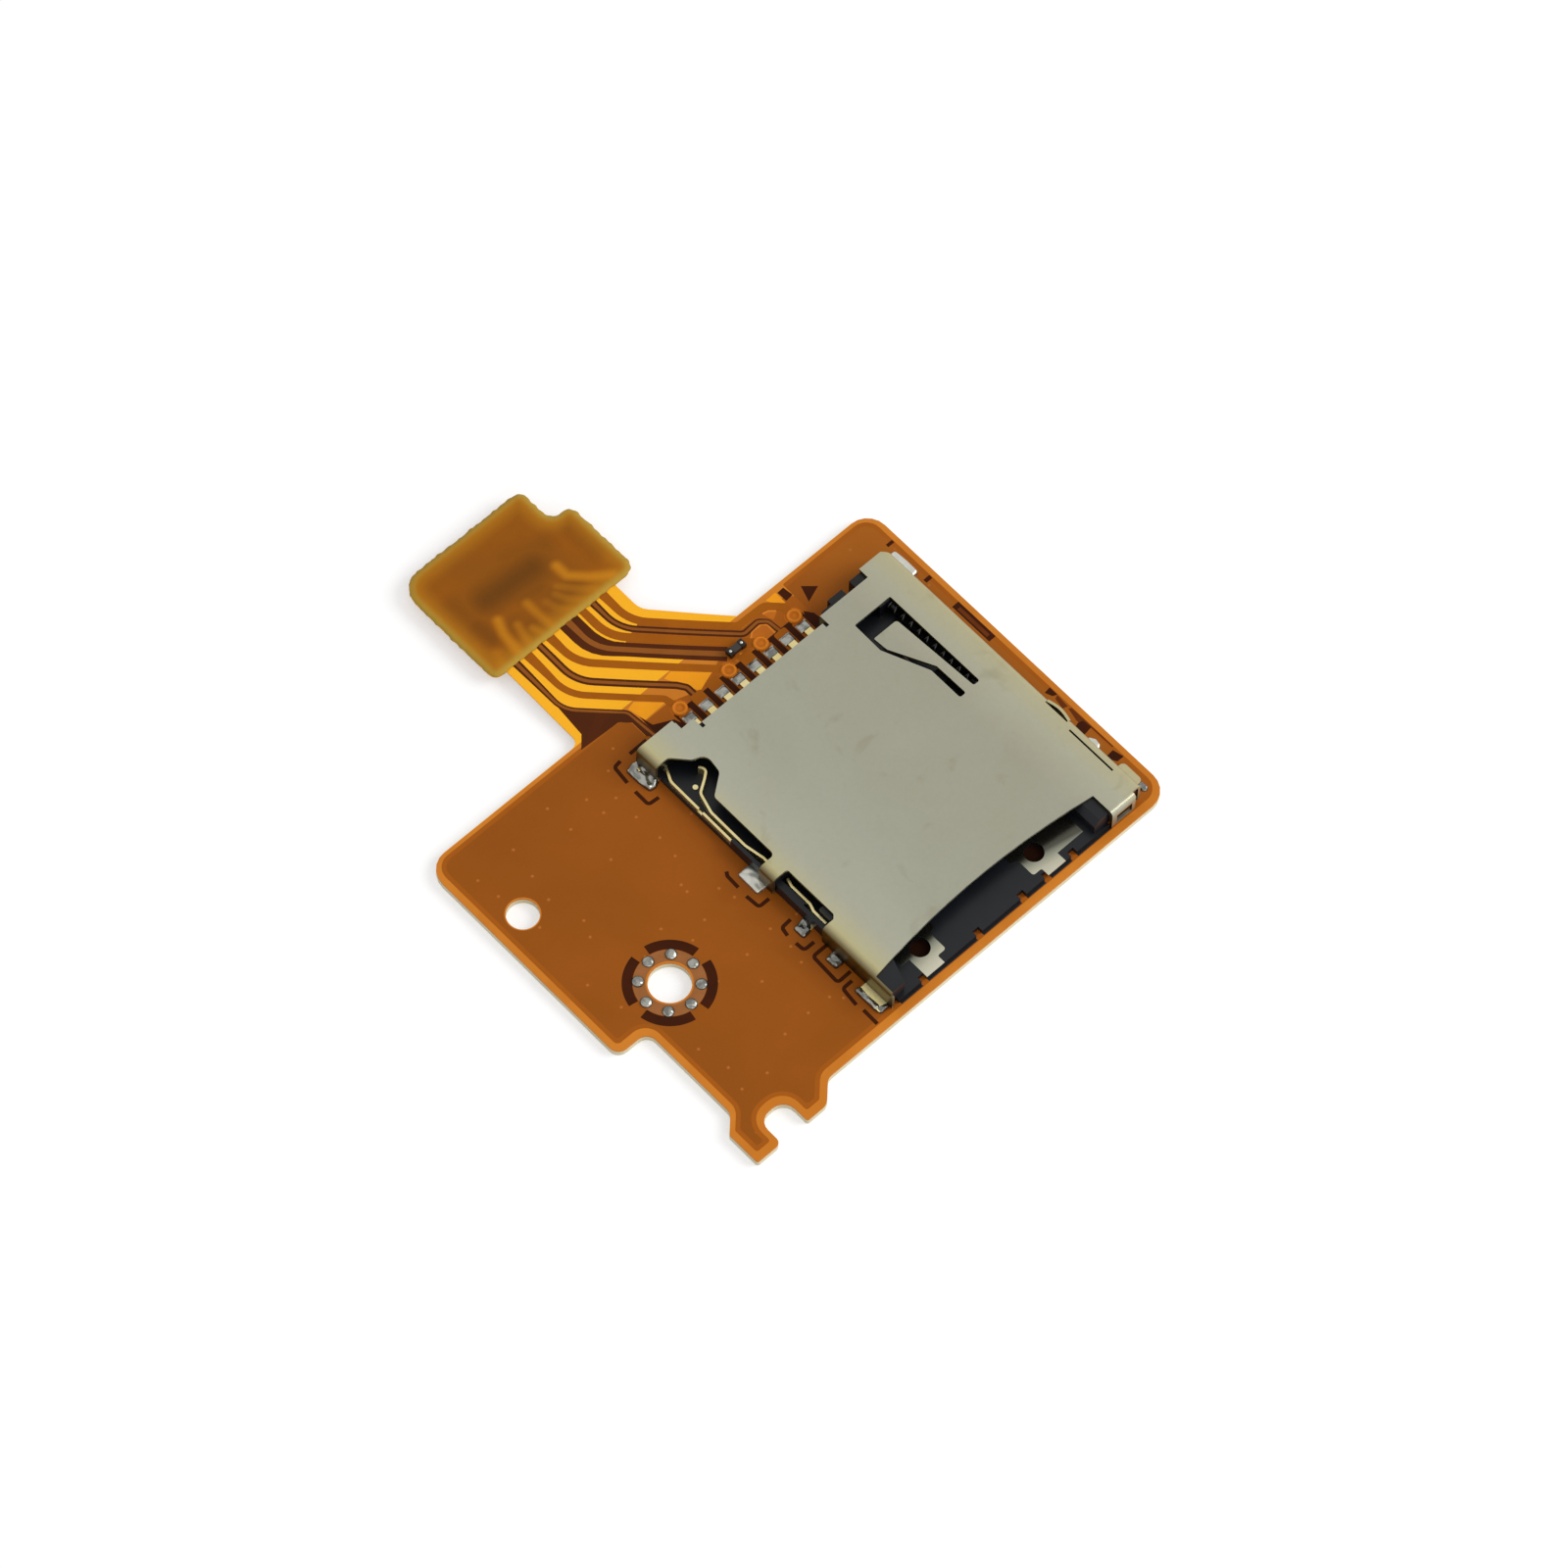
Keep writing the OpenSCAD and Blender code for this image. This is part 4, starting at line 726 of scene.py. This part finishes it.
# Dark gaps in the copper, painted shade in the pilot holes, the skirt before the base with its painted
# contact shadow, and the screw's pad
marks = {
    "width": 0.2, "bend": 0.18,
    "lines": [
        [(-8.05, 0.88), (-8.5, 0.82), (-8.62, -0.26)], [(-8.66, -0.88), (-8.67, -1.86), (-8.02, -1.91)],
        [(-7.43, 0.86), (-6.3, 0.88)], [(-8.36, -7.2), (-8.5, -7.42), (-8.53, -8.24)],
        [(-8.57, -8.86), (-8.51, -9.72), (-7.84, -9.72)], [(-7.84, -11.27), (-8.46, -11.31), (-8.56, -11.82)],
        [(-8.54, -12.4), (-8.5, -12.95), (-7.84, -12.96)],
        [(-7.5, -13.5), (-8.42, -13.5), (-8.5, -15.36), (-7.62, -15.34)],
        [(-7.92, -15.76), (-8.55, -15.77), (-8.67, -16.86)], [(-8.6, -17.3), (-8.62, -18.3)],
    ],
    "shapes": [
        box(10.11, 10.53, 0.74, 0.93), box(10.11, 10.52, -2.05, -1.82),
        [(10.12, -10.6), (10.52, -10.55), (10.52, -11.1), (10.27, -11.0)],
        [(9.8, -13.07), (10.17, -12.94), (10.43, -13.04), (10.48, -13.57), (10.1, -13.63), (9.78, -13.65)],
        [(9.93, -15.26), (10.37, -15.23), (10.52, -15.85), (10.09, -15.84), (9.84, -15.43)],
        [(5.02, 1.16), (5.97, 1.5), (5.33, 2.09)],
        [(4.2, 2.6), (4.22, 1.96), (4.69, 2.0), (4.62, 2.62)],
        [(4.45, 0.95), (4.78, 0.5), (4.86, -0.5), (4.3, -0.5), (4.22, 0.5)],
        [(-5.66, 2.07), (-5.48, 1.3), (-4.5, 0.8), (-4.3, 0.3), (-4.3, -0.5), (-5.7, -0.5), (-5.7, 0.6)],
    ],
    "root": [
        (-8.3, 5.3), (-7.62, 4.27), (-6.02, 2.62), (-5.95, 0.75), (-6.15, 0.95), (-6.15, 2.07), (-6.66, 2.55),
        (-9.06, 2.66), (-8.93, 2.78), (-8.45, 3.3),
    ],
    "frame": [box(10.1, 10.55, -6.62, -3.92), box(10.19, 10.4, -6.35, -4.2)],
    "pilots": [(-4.34, -16.8), (3.4, -16.8)], "pilotRadius": 0.8,
    "field": (-4.35, 4.35, -0.5, 1.0),
    "feet": [(-7.0, -5.55), (-5.15, -1.85), (-1.45, 1.15), (1.55, 2.8), (3.2, 4.6), (5.0, 7.3)],
    "footBand": (-18.33, -18.19),
    "soft": [
        [(10.5, -11.12), (10.44, -11.94), (10.16, -11.85), (10.27, -11.21)],
        [(10.37, -12.04), (10.52, -12.14), (10.54, -15.1), (10.46, -15.1), (10.44, -13.5), (10.26, -13.3),
         (10.19, -12.82)],
        box(10.19, 10.4, -6.35, -4.2),
    ],
    "arcs": {"inner": 1.84, "outer": 2.36, "half": 35.0, "middles": (45, 135, 225, 315), "steps": 16},
    "copperRing": (1.2, 1.82),
    "thick": 0.009, "levels": {
        "gapMarks": 1.0, "marginMarks": 0.8, "rootGap": 0.6, "tailField": 0.5, "pilotShade": 1.0,
        "baseSkirtShadow": 1.0, "screwPad": 1.2,
    },
}


def arcOutline(x, y, middle):
    arcs = marks["arcs"]
    start, turn = middle - arcs["half"], 2 * arcs["half"]
    angles = [math.radians(start + turn * k / arcs["steps"]) for k in range(arcs["steps"] + 1)]
    far = [(x + arcs["outer"] * math.cos(t), y + arcs["outer"] * math.sin(t)) for t in angles]
    near = [(x + arcs["inner"] * math.cos(t), y + arcs["inner"] * math.sin(t)) for t in angles]
    return far + near[::-1]


def addMarks():
    shapes = [ribbon([(x, y, marks["width"], marks["bend"]) for x, y in line]) for line in marks["lines"]]
    shapes += marks["shapes"] + [marks["frame"]]
    shapes += [arcOutline(*board["screw"], middle) for middle in marks["arcs"]["middles"]]
    layer(marks, "gapMarks", shapes, mark)
    layer(marks, "marginMarks", marks["soft"], softMark)
    layer(marks, "rootGap", [marks["root"]], darkTrace)
    layer(marks, "tailField", [box(*marks["field"])], mark)
    layer(marks, "pilotShade", [circle(x, y, marks["pilotRadius"]) for x, y in marks["pilots"]], pilotShade)
    # the base's plastic carried a little further forward, dark as its painted contact shadow
    feet = [box(*span, *marks["footBand"]) for span in marks["feet"]]
    layer(marks, "baseSkirtShadow", feet, basePlastic)
    near, far = marks["copperRing"]
    layer(marks, "screwPad", [[circle(*board["screw"], far), circle(*board["screw"], near)]], copper)


addMarks()


# Pads of the contact tails and the plated holes beside them
pads = {
    "lands": [
        [(2.8, 2.24), (3.14, 2.16), (3.47, 1.85), (3.02, 1.6), (2.91, 1.85)],
        [(1.76, 1.84), (2.38, 1.8), (2.57, 1.6), (2.54, 1.0), (2.2, 0.8), (1.6, 0.8), (1.45, 1.55)],
        [(-0.02, 1.22), (0.36, 1.18), (0.93, 1.0), (1.06, 0.66), (0.3, 0.52), (0.04, 1.0)],
    ],
    "landEdgeHighlights": [
        [(1.42, 1.56), (1.76, 1.84), (2.38, 1.81), (2.58, 1.6), (2.55, 1.0)], [(0.42, 1.32), (0.56, 1.28)],
        [(2.83, 2.22), (3.16, 2.14), (3.45, 1.88)],
    ],
    "landHalf": 0.5, "edgeWidth": 0.09, "edgeBend": 0.12,
    "pitch": 1.1, "half": 0.38, "corner": 0.12, "front": -0.5,
    "backs": (0.8, 1.2, 1.25, 0.8, 1.25, 0.8, 0.95, 0.8),
    "vias": [(3.9, 1.05), (1.6, 1.03), (-0.62, 0.98), (-3.88, 1.06)], "viaTurns": 32,
    "profile": [  # radius, height and share of the painted highlight on the ring
        (0.08, 0.045, 0.3), (0.16, 0.02, 0.0), (0.23, 0.04, 0.1), (0.29, 0.085, 0.8), (0.33, 0.09, 1.0),
        (0.37, 0.07, 0.7), (0.43, 0.0, 0.2),
    ],
    "thick": 0.012, "levels": {"tailPads": 1.0, "lands": 0.28, "holeLands": 0.33, "landEdgeHighlights": 0.36},
}


def tailX(i):  # the contact tails stand evenly about the middle
    return pads["pitch"] * (i - (len(pads["backs"]) - 1) / 2)


def addPads():
    front, half, corner = pads["front"], pads["half"], pads["corner"]
    shapes = []
    for i, back in enumerate(pads["backs"]):
        left, right = tailX(i) - half, tailX(i) + half
        corners = [(left, front, 0.0), (right, front, 0.0), (right, back, corner), (left, back, corner)]
        shapes.append(roundOff(corners))
    layer(pads, "tailPads", shapes, trace)
    layer(pads, "lands", pads["lands"], land)
    layer(pads, "holeLands", [circle(x, y, pads["landHalf"]) for x, y in pads["vias"]], land)
    # painted highlights along the lands' edges
    width, bend = pads["edgeWidth"], pads["edgeBend"]
    edges = [ribbon([(x, y, width, bend) for x, y in line]) for line in pads["landEdgeHighlights"]]
    layer(pads, "landEdgeHighlights", edges, landEdgeHighlight)


def addPlatedHoles():
    turns = pads["viaTurns"]
    bm = bmesh.new()
    ringHighlight = []
    for x, y in pads["vias"]:
        rings = []
        for radius, height, share in pads["profile"]:
            z = deck + pads["thick"] + height
            rings.append([bm.verts.new((px, py, z)) for px, py in circle(x, y, radius, turns)])
            ringHighlight += [share] * turns
        rings.append([bm.verts.new((v.co.x, v.co.y, deck)) for v in rings[-1]])
        ringHighlight += [0.0] * turns
        for inner, outer in zip(rings, rings[1:]):
            bridge(bm, inner, outer)
        bm.faces.new(rings[0])
        bm.faces.new(rings[-1][::-1])
    piece = addPiece("platedHoles", bm, viaSkin, smooth=True)
    piece.data.attributes.new("ring", "FLOAT", "POINT").data.foreach_set("value", ringHighlight)


addPads()
addPlatedHoles()
print("board print laid")


# Solder: lumpy domes over the terminals, on the chip, round the screw and at the contact tails; the bright
# domes on the chip are solder with a painted highlight
blobs = {
    "seat": 0.002, "rings": 10, "power": 0.6, "lumpScale": 3.4, "seedStep": 7.3,
    "corner": 0.14, "spacing": 0.09,
    "terminals": [  # outline, height, flatness, lumpiness
        ([(-8.26, 0.26), (-7.76, 0.4), (-7.3, 0.32), (-7.3, -0.45), (-7.38, -1.28), (-7.77, -1.45),
          (-8.14, -1.4), (-8.25, -0.7)], 0.24, 7.0, 0.4),
        ([(-8.13, -11.75), (-7.3, -11.62), (-7.12, -12.1), (-7.6, -12.46), (-8.12, -12.5)], 0.22, 5.0, 0.5),
        ([(-8.12, -14.0), (-7.4, -13.93), (-7.36, -14.6), (-7.6, -14.82), (-8.1, -14.78)], 0.22, 5.0, 0.5),
        ([(-8.26, -16.2), (-7.86, -16.2), (-7.94, -16.9), (-7.86, -17.8), (-8.24, -17.8)], 0.22, 6.0, 0.4),
        ([(-8.22, -17.5), (-7.9, -17.76), (-7.46, -17.78), (-7.4, -18.04), (-8.16, -18.06)], 0.2, 5.0, 0.4),
        ([(9.84, -17.45), (10.2, -17.42), (10.22, -17.9), (9.98, -18.06), (9.8, -17.85)], 0.17, 3.0, 0.5),
    ],
    "pads": [
        ([(-8.12, -7.68), (-7.3, -7.66), (-7.1, -8.9), (-7.3, -9.24), (-8.14, -9.2)], 0.2, 7.0, 0.12),
        ([(9.42, 0.38), (10.18, 0.4), (10.24, -0.5), (10.22, -1.38), (9.42, -1.46)], 0.19, 12.0, 0.05),
        ([(9.66, -13.88), (9.98, -13.92), (10.16, -14.25), (10.1, -14.64), (9.86, -14.82), (9.62, -14.5)],
         0.19, 6.0, 0.1),
    ],
    "glints": {
        "half": 0.085, "height": 0.05, "inset": 0.15, "flat": 3.0, "lumps": 0.4, "sides": 20, "sink": 0.01,
    },
    "pip": {"place": (-7.78, -0.17), "half": 0.17, "height": 0.28, "flat": 4.0, "lumps": 0.0, "sides": 24},
    "bumps": {"ring": 1.56, "half": 0.32, "height": 0.17, "count": 8, "flat": 2.2, "lumps": 0.3, "sides": 24},
    "seeds": {"terminalSolder": 0, "padSolder": 50, "chipSolderGlints": 60, "terminalPip": 40, "screwBumps": 20},
}


def addDome(bm, outline, height, flatness, lumpiness, seed, seat):
    middle = sum((Vector(p) for p in outline), Vector((0, 0))) / len(outline)
    scale = blobs["lumpScale"]
    rows = []
    for r in range(blobs["rings"]):
        share = 1 - r / blobs["rings"]
        row = []
        for p in outline:
            q = middle + (Vector(p) - middle) * share
            lump = noise.noise(Vector((q.x * scale, q.y * scale, seed * blobs["seedStep"])))
            rise = height * (1 + lumpiness * lump) * (1 - share ** flatness) ** blobs["power"]
            row.append(bm.verts.new((q.x, q.y, seat + rise)))
        rows.append(row)
    top = bm.verts.new((middle.x, middle.y, seat + height))
    for low, high in zip(rows, rows[1:]):
        bridge(bm, low, high)
    for k in range(len(outline)):
        bm.faces.new((rows[-1][k], rows[-1][(k + 1) % len(outline)], top))
    bm.faces.new(rows[0][::-1])


def softOutline(points):  # dense rounded outline for a dome
    rounded = [Vector(p) for p in roundOff([(x, y, blobs["corner"]) for x, y in points])]
    dense = []
    for a, b in zip(rounded, rounded[1:] + rounded[:1]):
        pieces = max(1, int((b - a).length / blobs["spacing"]))
        dense += [tuple(a + (b - a) * k / pieces) for k in range(pieces)]
    return dense


def roundDome(x, y, plan):
    return circle(x, y, plan["half"], plan["sides"]), plan["height"], plan["flat"], plan["lumps"]


def addBlobs(name, domes, material, seat=deck + blobs["seat"]):
    bm = bmesh.new()
    for seed, dome in enumerate(domes, blobs["seeds"][name]):
        addDome(bm, *dome, seed, seat)
    return addPiece(name, bm, material, smooth=True)


def addSolder():
    domes = [(softOutline(points), *shape) for points, *shape in blobs["terminals"]]
    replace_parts(addBlobs("terminalSolder", domes, solder), "terminal_solder")
    domes = [(softOutline(points), *shape) for points, *shape in blobs["pads"]]
    addBlobs("padSolder", domes, padSolder)
    # painted highlights: small bright solder domes on the chip's ends
    glints = blobs["glints"]
    low, high = (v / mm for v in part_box("chip_ends"))
    places = (low.x + glints["inset"], high.x - glints["inset"])
    domes = [roundDome(x, (low.y + high.y) / 2, glints) for x in places]
    addBlobs("chipSolderGlints", domes, padSolder, high.z - glints["sink"])
    addBlobs("terminalPip", [roundDome(*blobs["pip"]["place"], blobs["pip"])], gold)
    bumps = blobs["bumps"]
    domes = [roundDome(x, y, bumps) for x, y in circle(*board["screw"], bumps["ring"], bumps["count"])]
    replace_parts(addBlobs("screwBumps", domes, solder), "ring_solder")


tailSolderPlan = {
    "half": 0.34, "metalHalf": 0.215, "metalEnd": 0.44, "metalTop": 0.1, "front": 0.04, "back": 0.6,
    "cover": 0.014, "onset": 0.08, "sidePower": 1.4, "endPower": 1.8, "grid": 14,
}


def tailSolderHeight(x, y):
    plan = tailSolderPlan
    beside = max(0.0, abs(x) - plan["metalHalf"]) / (plan["half"] - plan["metalHalf"])
    beyond = max(0.0, y - plan["metalEnd"]) / (plan["back"] - plan["metalEnd"])
    onset = min(1.0, max(0.0, (y - plan["front"]) / plan["onset"]))
    slope = (1 - min(1.0, beside)) ** plan["sidePower"] * (1 - min(1.0, beyond)) ** plan["endPower"]
    return (plan["metalTop"] + plan["cover"] * onset) * slope


def addTailSolder():
    plan = tailSolderPlan
    bm = bmesh.new()
    count = plan["grid"]
    for i in range(len(pads["backs"])):
        grid = []
        for r in range(count + 1):
            y = plan["front"] + (plan["back"] - plan["front"]) * r / count
            row = []
            for c in range(count + 1):
                x = plan["half"] * (2 * c / count - 1)
                z = deck + pads["thick"] + tailSolderHeight(x, y)
                row.append(bm.verts.new((tailX(i) + x, y, z)))
            grid.append(row)
        for low, high in zip(grid, grid[1:]):
            for c in range(count):
                bm.faces.new((low[c], low[c + 1], high[c + 1], high[c]))
        edge = grid[0] + [row[-1] for row in grid[1:]] + grid[-1][-2::-1] + [row[0] for row in grid[-2:0:-1]]
        foot = [bm.verts.new((v.co.x, v.co.y, deck + blobs["seat"])) for v in edge]
        bridge(bm, edge, foot)
        bm.faces.new(foot)
    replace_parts(addPiece("tailSolder", bm, solder, smooth=True), "tail_solder")


addSolder()
addTailSolder()
print("solder placed")


# Olive film of the tab, with the wiring showing dimly through it
tabPlan = {
    "corners": [(-9.63, 8.4, 0.5), (-0.18, 8.4, 0.65), (-0.18, 13.25, 0.5), (-1.48, 13.25, 0.58),
                (-1.48, 15.6, 0.5), (-9.63, 15.6, 1.3)],
    # crown, rim and warm are reaches from the film's edge
    "cell": 0.1, "crown": 0.16, "crownShare": 0.55, "rim": 0.46, "warm": 1.3, "glowShare": 0.8,
    "ragged": 0.09, "ragScale": 3.5, "ragSeed": 3.0, "ragBias": 0.4, "atEdge": 0.001,
    "glow": [  # points of the line, its half width and how clearly it shows
        ([(-1.3, 8.8), (-2.26, 9.55), (-3.03, 10.35), (-3.04, 11.1)], 0.48, 0.95),
        ([(-2.5, 8.75), (-3.29, 9.62), (-3.8, 10.2)], 0.4, 0.36),
        ([(-3.2, 8.6), (-3.84, 9.23), (-4.15, 9.9)], 0.4, 0.34),
        ([(-4.0, 8.6), (-4.62, 9.22), (-4.8, 9.9)], 0.4, 0.3),
        ([(-5.5, 8.6), (-5.58, 9.77), (-5.57, 10.5)], 0.42, 0.62),
        ([(-6.1, 8.6), (-6.3, 9.25)], 0.38, 0.5), ([(-6.98, 8.8), (-6.9, 9.3), (-6.74, 9.9)], 0.4, 0.55),
        ([(-7.75, 8.6), (-7.6, 10.0), (-7.3, 10.75)], 0.46, 0.9),
        ([(-8.9, 8.7), (-8.6, 9.4)], 0.5, 0.4),
    ],
    "shade": [
        ([(-6.9, 12.0), (-4.0, 11.85)], 1.5, 0.72), ([(-6.9, 9.9), (-6.1, 9.3)], 1.2, 0.3),
        ([(-4.4, 9.7), (-3.2, 9.7)], 1.2, 0.28), ([(-8.4, 13.0), (-8.3, 11.5)], 1.0, 0.28),
        ([(-8.3, 11.2), (-8.2, 10.2)], 0.9, 0.5), ([(-1.15, 12.2), (-1.05, 10.4)], 0.9, 0.22),
        ([(-4.5, 13.2), (-2.4, 12.4)], 1.0, 0.2), ([(-5.6, 11.0), (-4.6, 10.8)], 0.8, 0.3),
    ],
}
tabFinish = {
    "colour": (154, 87, 14), "second": (142, 82, 16), "blotch": 260.0,
    "grain": (5000.0, 0.12), "rough": (0.38, 0.5), "bump": (0.1, 0.01), "gloss": 0.08,
    "effects": {"warm": (178, 116, 24), "shade": (94, 56, 14), "glow": (204, 131, 24), "rim": (180, 145, 56)},
}


def distanceTo(p, a, b):
    along = b - a
    share = max(0.0, min(1.0, (p - a).dot(along) / along.length_squared))
    return (p - a - along * share).length


def fade(distance, reach):  # 1 at no distance, 0 at reach
    t = max(0.0, min(1.0, 1 - distance / reach))
    return t * t * (3 - 2 * t)


def lineMask(p, lines):
    amount = 0.0
    for line, half, strength in lines:
        points = [Vector(q) for q in line]
        near = min(distanceTo(p, a, b) for a, b in zip(points, points[1:]))
        amount = max(amount, strength * fade(near, half))
    return amount


def addTabFilm():
    low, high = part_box("tab_film")
    z0, z1 = low.z / mm, high.z / mm
    outline = [Vector(p) for p in roundOff(tabPlan["corners"])]
    bm = bmesh.new()
    floor = [bm.verts.new((p.x, p.y, z0)) for p in outline]
    roof = [bm.verts.new((p.x, p.y, z1)) for p in outline]
    bm.faces.new(floor[::-1])
    bridge(bm, floor, roof)
    bm.faces.new(roof)
    for axis, normal in enumerate(((1, 0, 0), (0, 1, 0))):
        start, end = low[axis] / mm, high[axis] / mm
        for k in range(1, int((end - start) / tabPlan["cell"])):
            cutAcross(bm, tuple(n * (start + tabPlan["cell"] * k) for n in normal), normal)
    effects = {"warm": [], "rim": [], "glow": [], "shade": []}
    edges = list(zip(outline, outline[1:] + outline[:1]))
    middle = (low + high).xy / 2 / mm
    scale = tabPlan["ragScale"]
    for vert in bm.verts:
        p = vert.co.xy
        toEdge = min(distanceTo(p, a, b) for a, b in edges)
        if vert.co.z > (z0 + z1) / 2:
            vert.co.z -= (z1 - z0) * tabPlan["crownShare"] * fade(toEdge, tabPlan["crown"])
        effects["warm"].append(fade(toEdge, tabPlan["warm"]))
        effects["rim"].append(fade(toEdge, tabPlan["rim"]))
        effects["glow"].append(tabPlan["glowShare"] * lineMask(p, tabPlan["glow"]))
        effects["shade"].append(lineMask(p, tabPlan["shade"]))
        if toEdge < tabPlan["atEdge"]:  # the film was trimmed unevenly
            wave = noise.noise(Vector((p.x * scale, p.y * scale, tabPlan["ragSeed"])))
            outwards = tabPlan["ragged"] * max(0.0, tabPlan["ragBias"] + wave)
            vert.co.xy += (p - middle).normalized() * outwards
    piece = addPiece("tabFilm", bm, makeFinish("tabFilm", tabFinish), smooth=True)
    for effect, amounts in effects.items():
        piece.data.attributes.new(effect, "FLOAT", "POINT").data.foreach_set("value", amounts)
    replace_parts(piece, "tab_film")


addTabFilm()
print("tab film made")


# Spring of the ejector, which shortens when the card pushes the slider
spring = {  # keep is the share of its length that is left when the slider is in
    "turns": 12, "endTurns": 0.7, "wire": 0.06, "sides": 8, "steps": 26, "fixedY": -2.0, "keep": 0.597,
}


def addSpring():
    low, high = (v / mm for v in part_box("eject_spring"))
    middle = (low + high) / 2
    wire, turns, ends = spring["wire"], spring["turns"], spring["endTurns"]
    steps, sides = spring["steps"], spring["sides"]
    radius = (high.z - low.z) / 2 - wire
    start, end = low.y + wire, high.y - wire
    freeTurns = turns - 2 * ends
    bm = bmesh.new()
    rows = []
    for i in range(turns * steps + 1):
        turn = i / steps
        free = min(max(turn - ends, 0.0), freeTurns)
        closed = (turn - free) * wire * 2 - ends * wire * 2
        y = (start + end) / 2 + (free / freeTurns - 0.5) * (end - start - 4 * ends * wire) + closed
        t = -2 * math.pi * turn
        row = []
        for k in range(sides):
            b = 2 * math.pi * k / sides
            r = radius + wire * math.cos(b)
            place = (middle.x + r * math.cos(t), y + wire * math.sin(b), middle.z + r * math.sin(t))
            row.append(bm.verts.new(place))
        rows.append(row)
    for a, b in zip(rows, rows[1:]):
        bridge(bm, a, b)
    bm.faces.new(rows[0])
    bm.faces.new(rows[-1][::-1])
    piece = addPiece("ejectSpring", bm, shadedSteel, smooth=True)
    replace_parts(piece, "eject_spring")
    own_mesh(piece)


addSpring()
print("spring wound")


# Floor, lamps and sky
studio = {
    "floorHalf": 1.5, "floorGap": 0.00002, "floorRough": 0.9,
    "floorColour": (214, 214, 214), "floorGlow": 0.42,
    "skyLight": 0.62, "skySeen": 1.0,
    "lamps": [  # place in metres, size, watts
        ((0.29, -0.24, 0.28), 0.3, 1.1),
        ((-0.12, -0.4, 0.2), 0.3, 0.3),
    ],
    "aim": (-0.003, -0.005, 0.0),
}


def seenDirectly(tree):  # camera, mirror and see-through rays
    path = addNode(tree, "ShaderNodeLightPath")
    eitherWay = mathNode(tree, "MAXIMUM", path.outputs["Is Camera Ray"], path.outputs["Is Glossy Ray"])
    return mathNode(tree, "MAXIMUM", eitherWay, path.outputs["Is Transmission Ray"])


def addFloor():
    half = studio["floorHalf"]
    mesh = bpy.data.meshes.new("floor")
    corners = [(-half, -half, 0), (half, -half, 0), (half, half, 0), (-half, half, 0)]
    mesh.from_pydata(corners, [], [(0, 1, 2, 3)])
    floor = addObject("floor", mesh)
    floor.location.z = cadBox[0].z - studio["floorGap"]
    material = bpy.data.materials.new("floor")
    material.use_nodes = True
    tree = material.node_tree
    shader = tree.nodes["Principled BSDF"]
    shader.inputs["Base Color"].default_value = linear(studio["floorColour"])
    shader.inputs["Roughness"].default_value = studio["floorRough"]
    shader.inputs["Specular IOR Level"].default_value = 0.0
    shader.inputs["Emission Color"].default_value = (1.0, 1.0, 1.0, 1.0)
    glow = mathNode(tree, "MULTIPLY", seenDirectly(tree), studio["floorGlow"])
    tree.links.new(glow, shader.inputs["Emission Strength"])
    mesh.materials.append(material)


def addLight():
    world = bpy.data.worlds.new("studio")
    bpy.context.scene.world = world
    world.use_nodes = True
    tree = world.node_tree
    background = tree.nodes["Background"]
    background.inputs["Color"].default_value = (1.0, 1.0, 1.0, 1.0)
    difference = mathNode(tree, "MULTIPLY", seenDirectly(tree), studio["skySeen"] - studio["skyLight"])
    tree.links.new(mathNode(tree, "ADD", difference, studio["skyLight"]), background.inputs["Strength"])
    aim = Vector(studio["aim"])
    for place, size, watts in studio["lamps"]:
        data = bpy.data.lights.new("softbox", "AREA")
        data.shape = "DISK"
        data.size = size
        data.energy = watts
        lamp = addObject("softbox", data)
        lamp.location = place
        lamp.rotation_euler = (aim - Vector(place)).to_track_quat("-Z", "Y").to_euler()


addFloor()
addLight()
bpy.context.scene.view_settings.view_transform = "Standard"
print("studio lit")
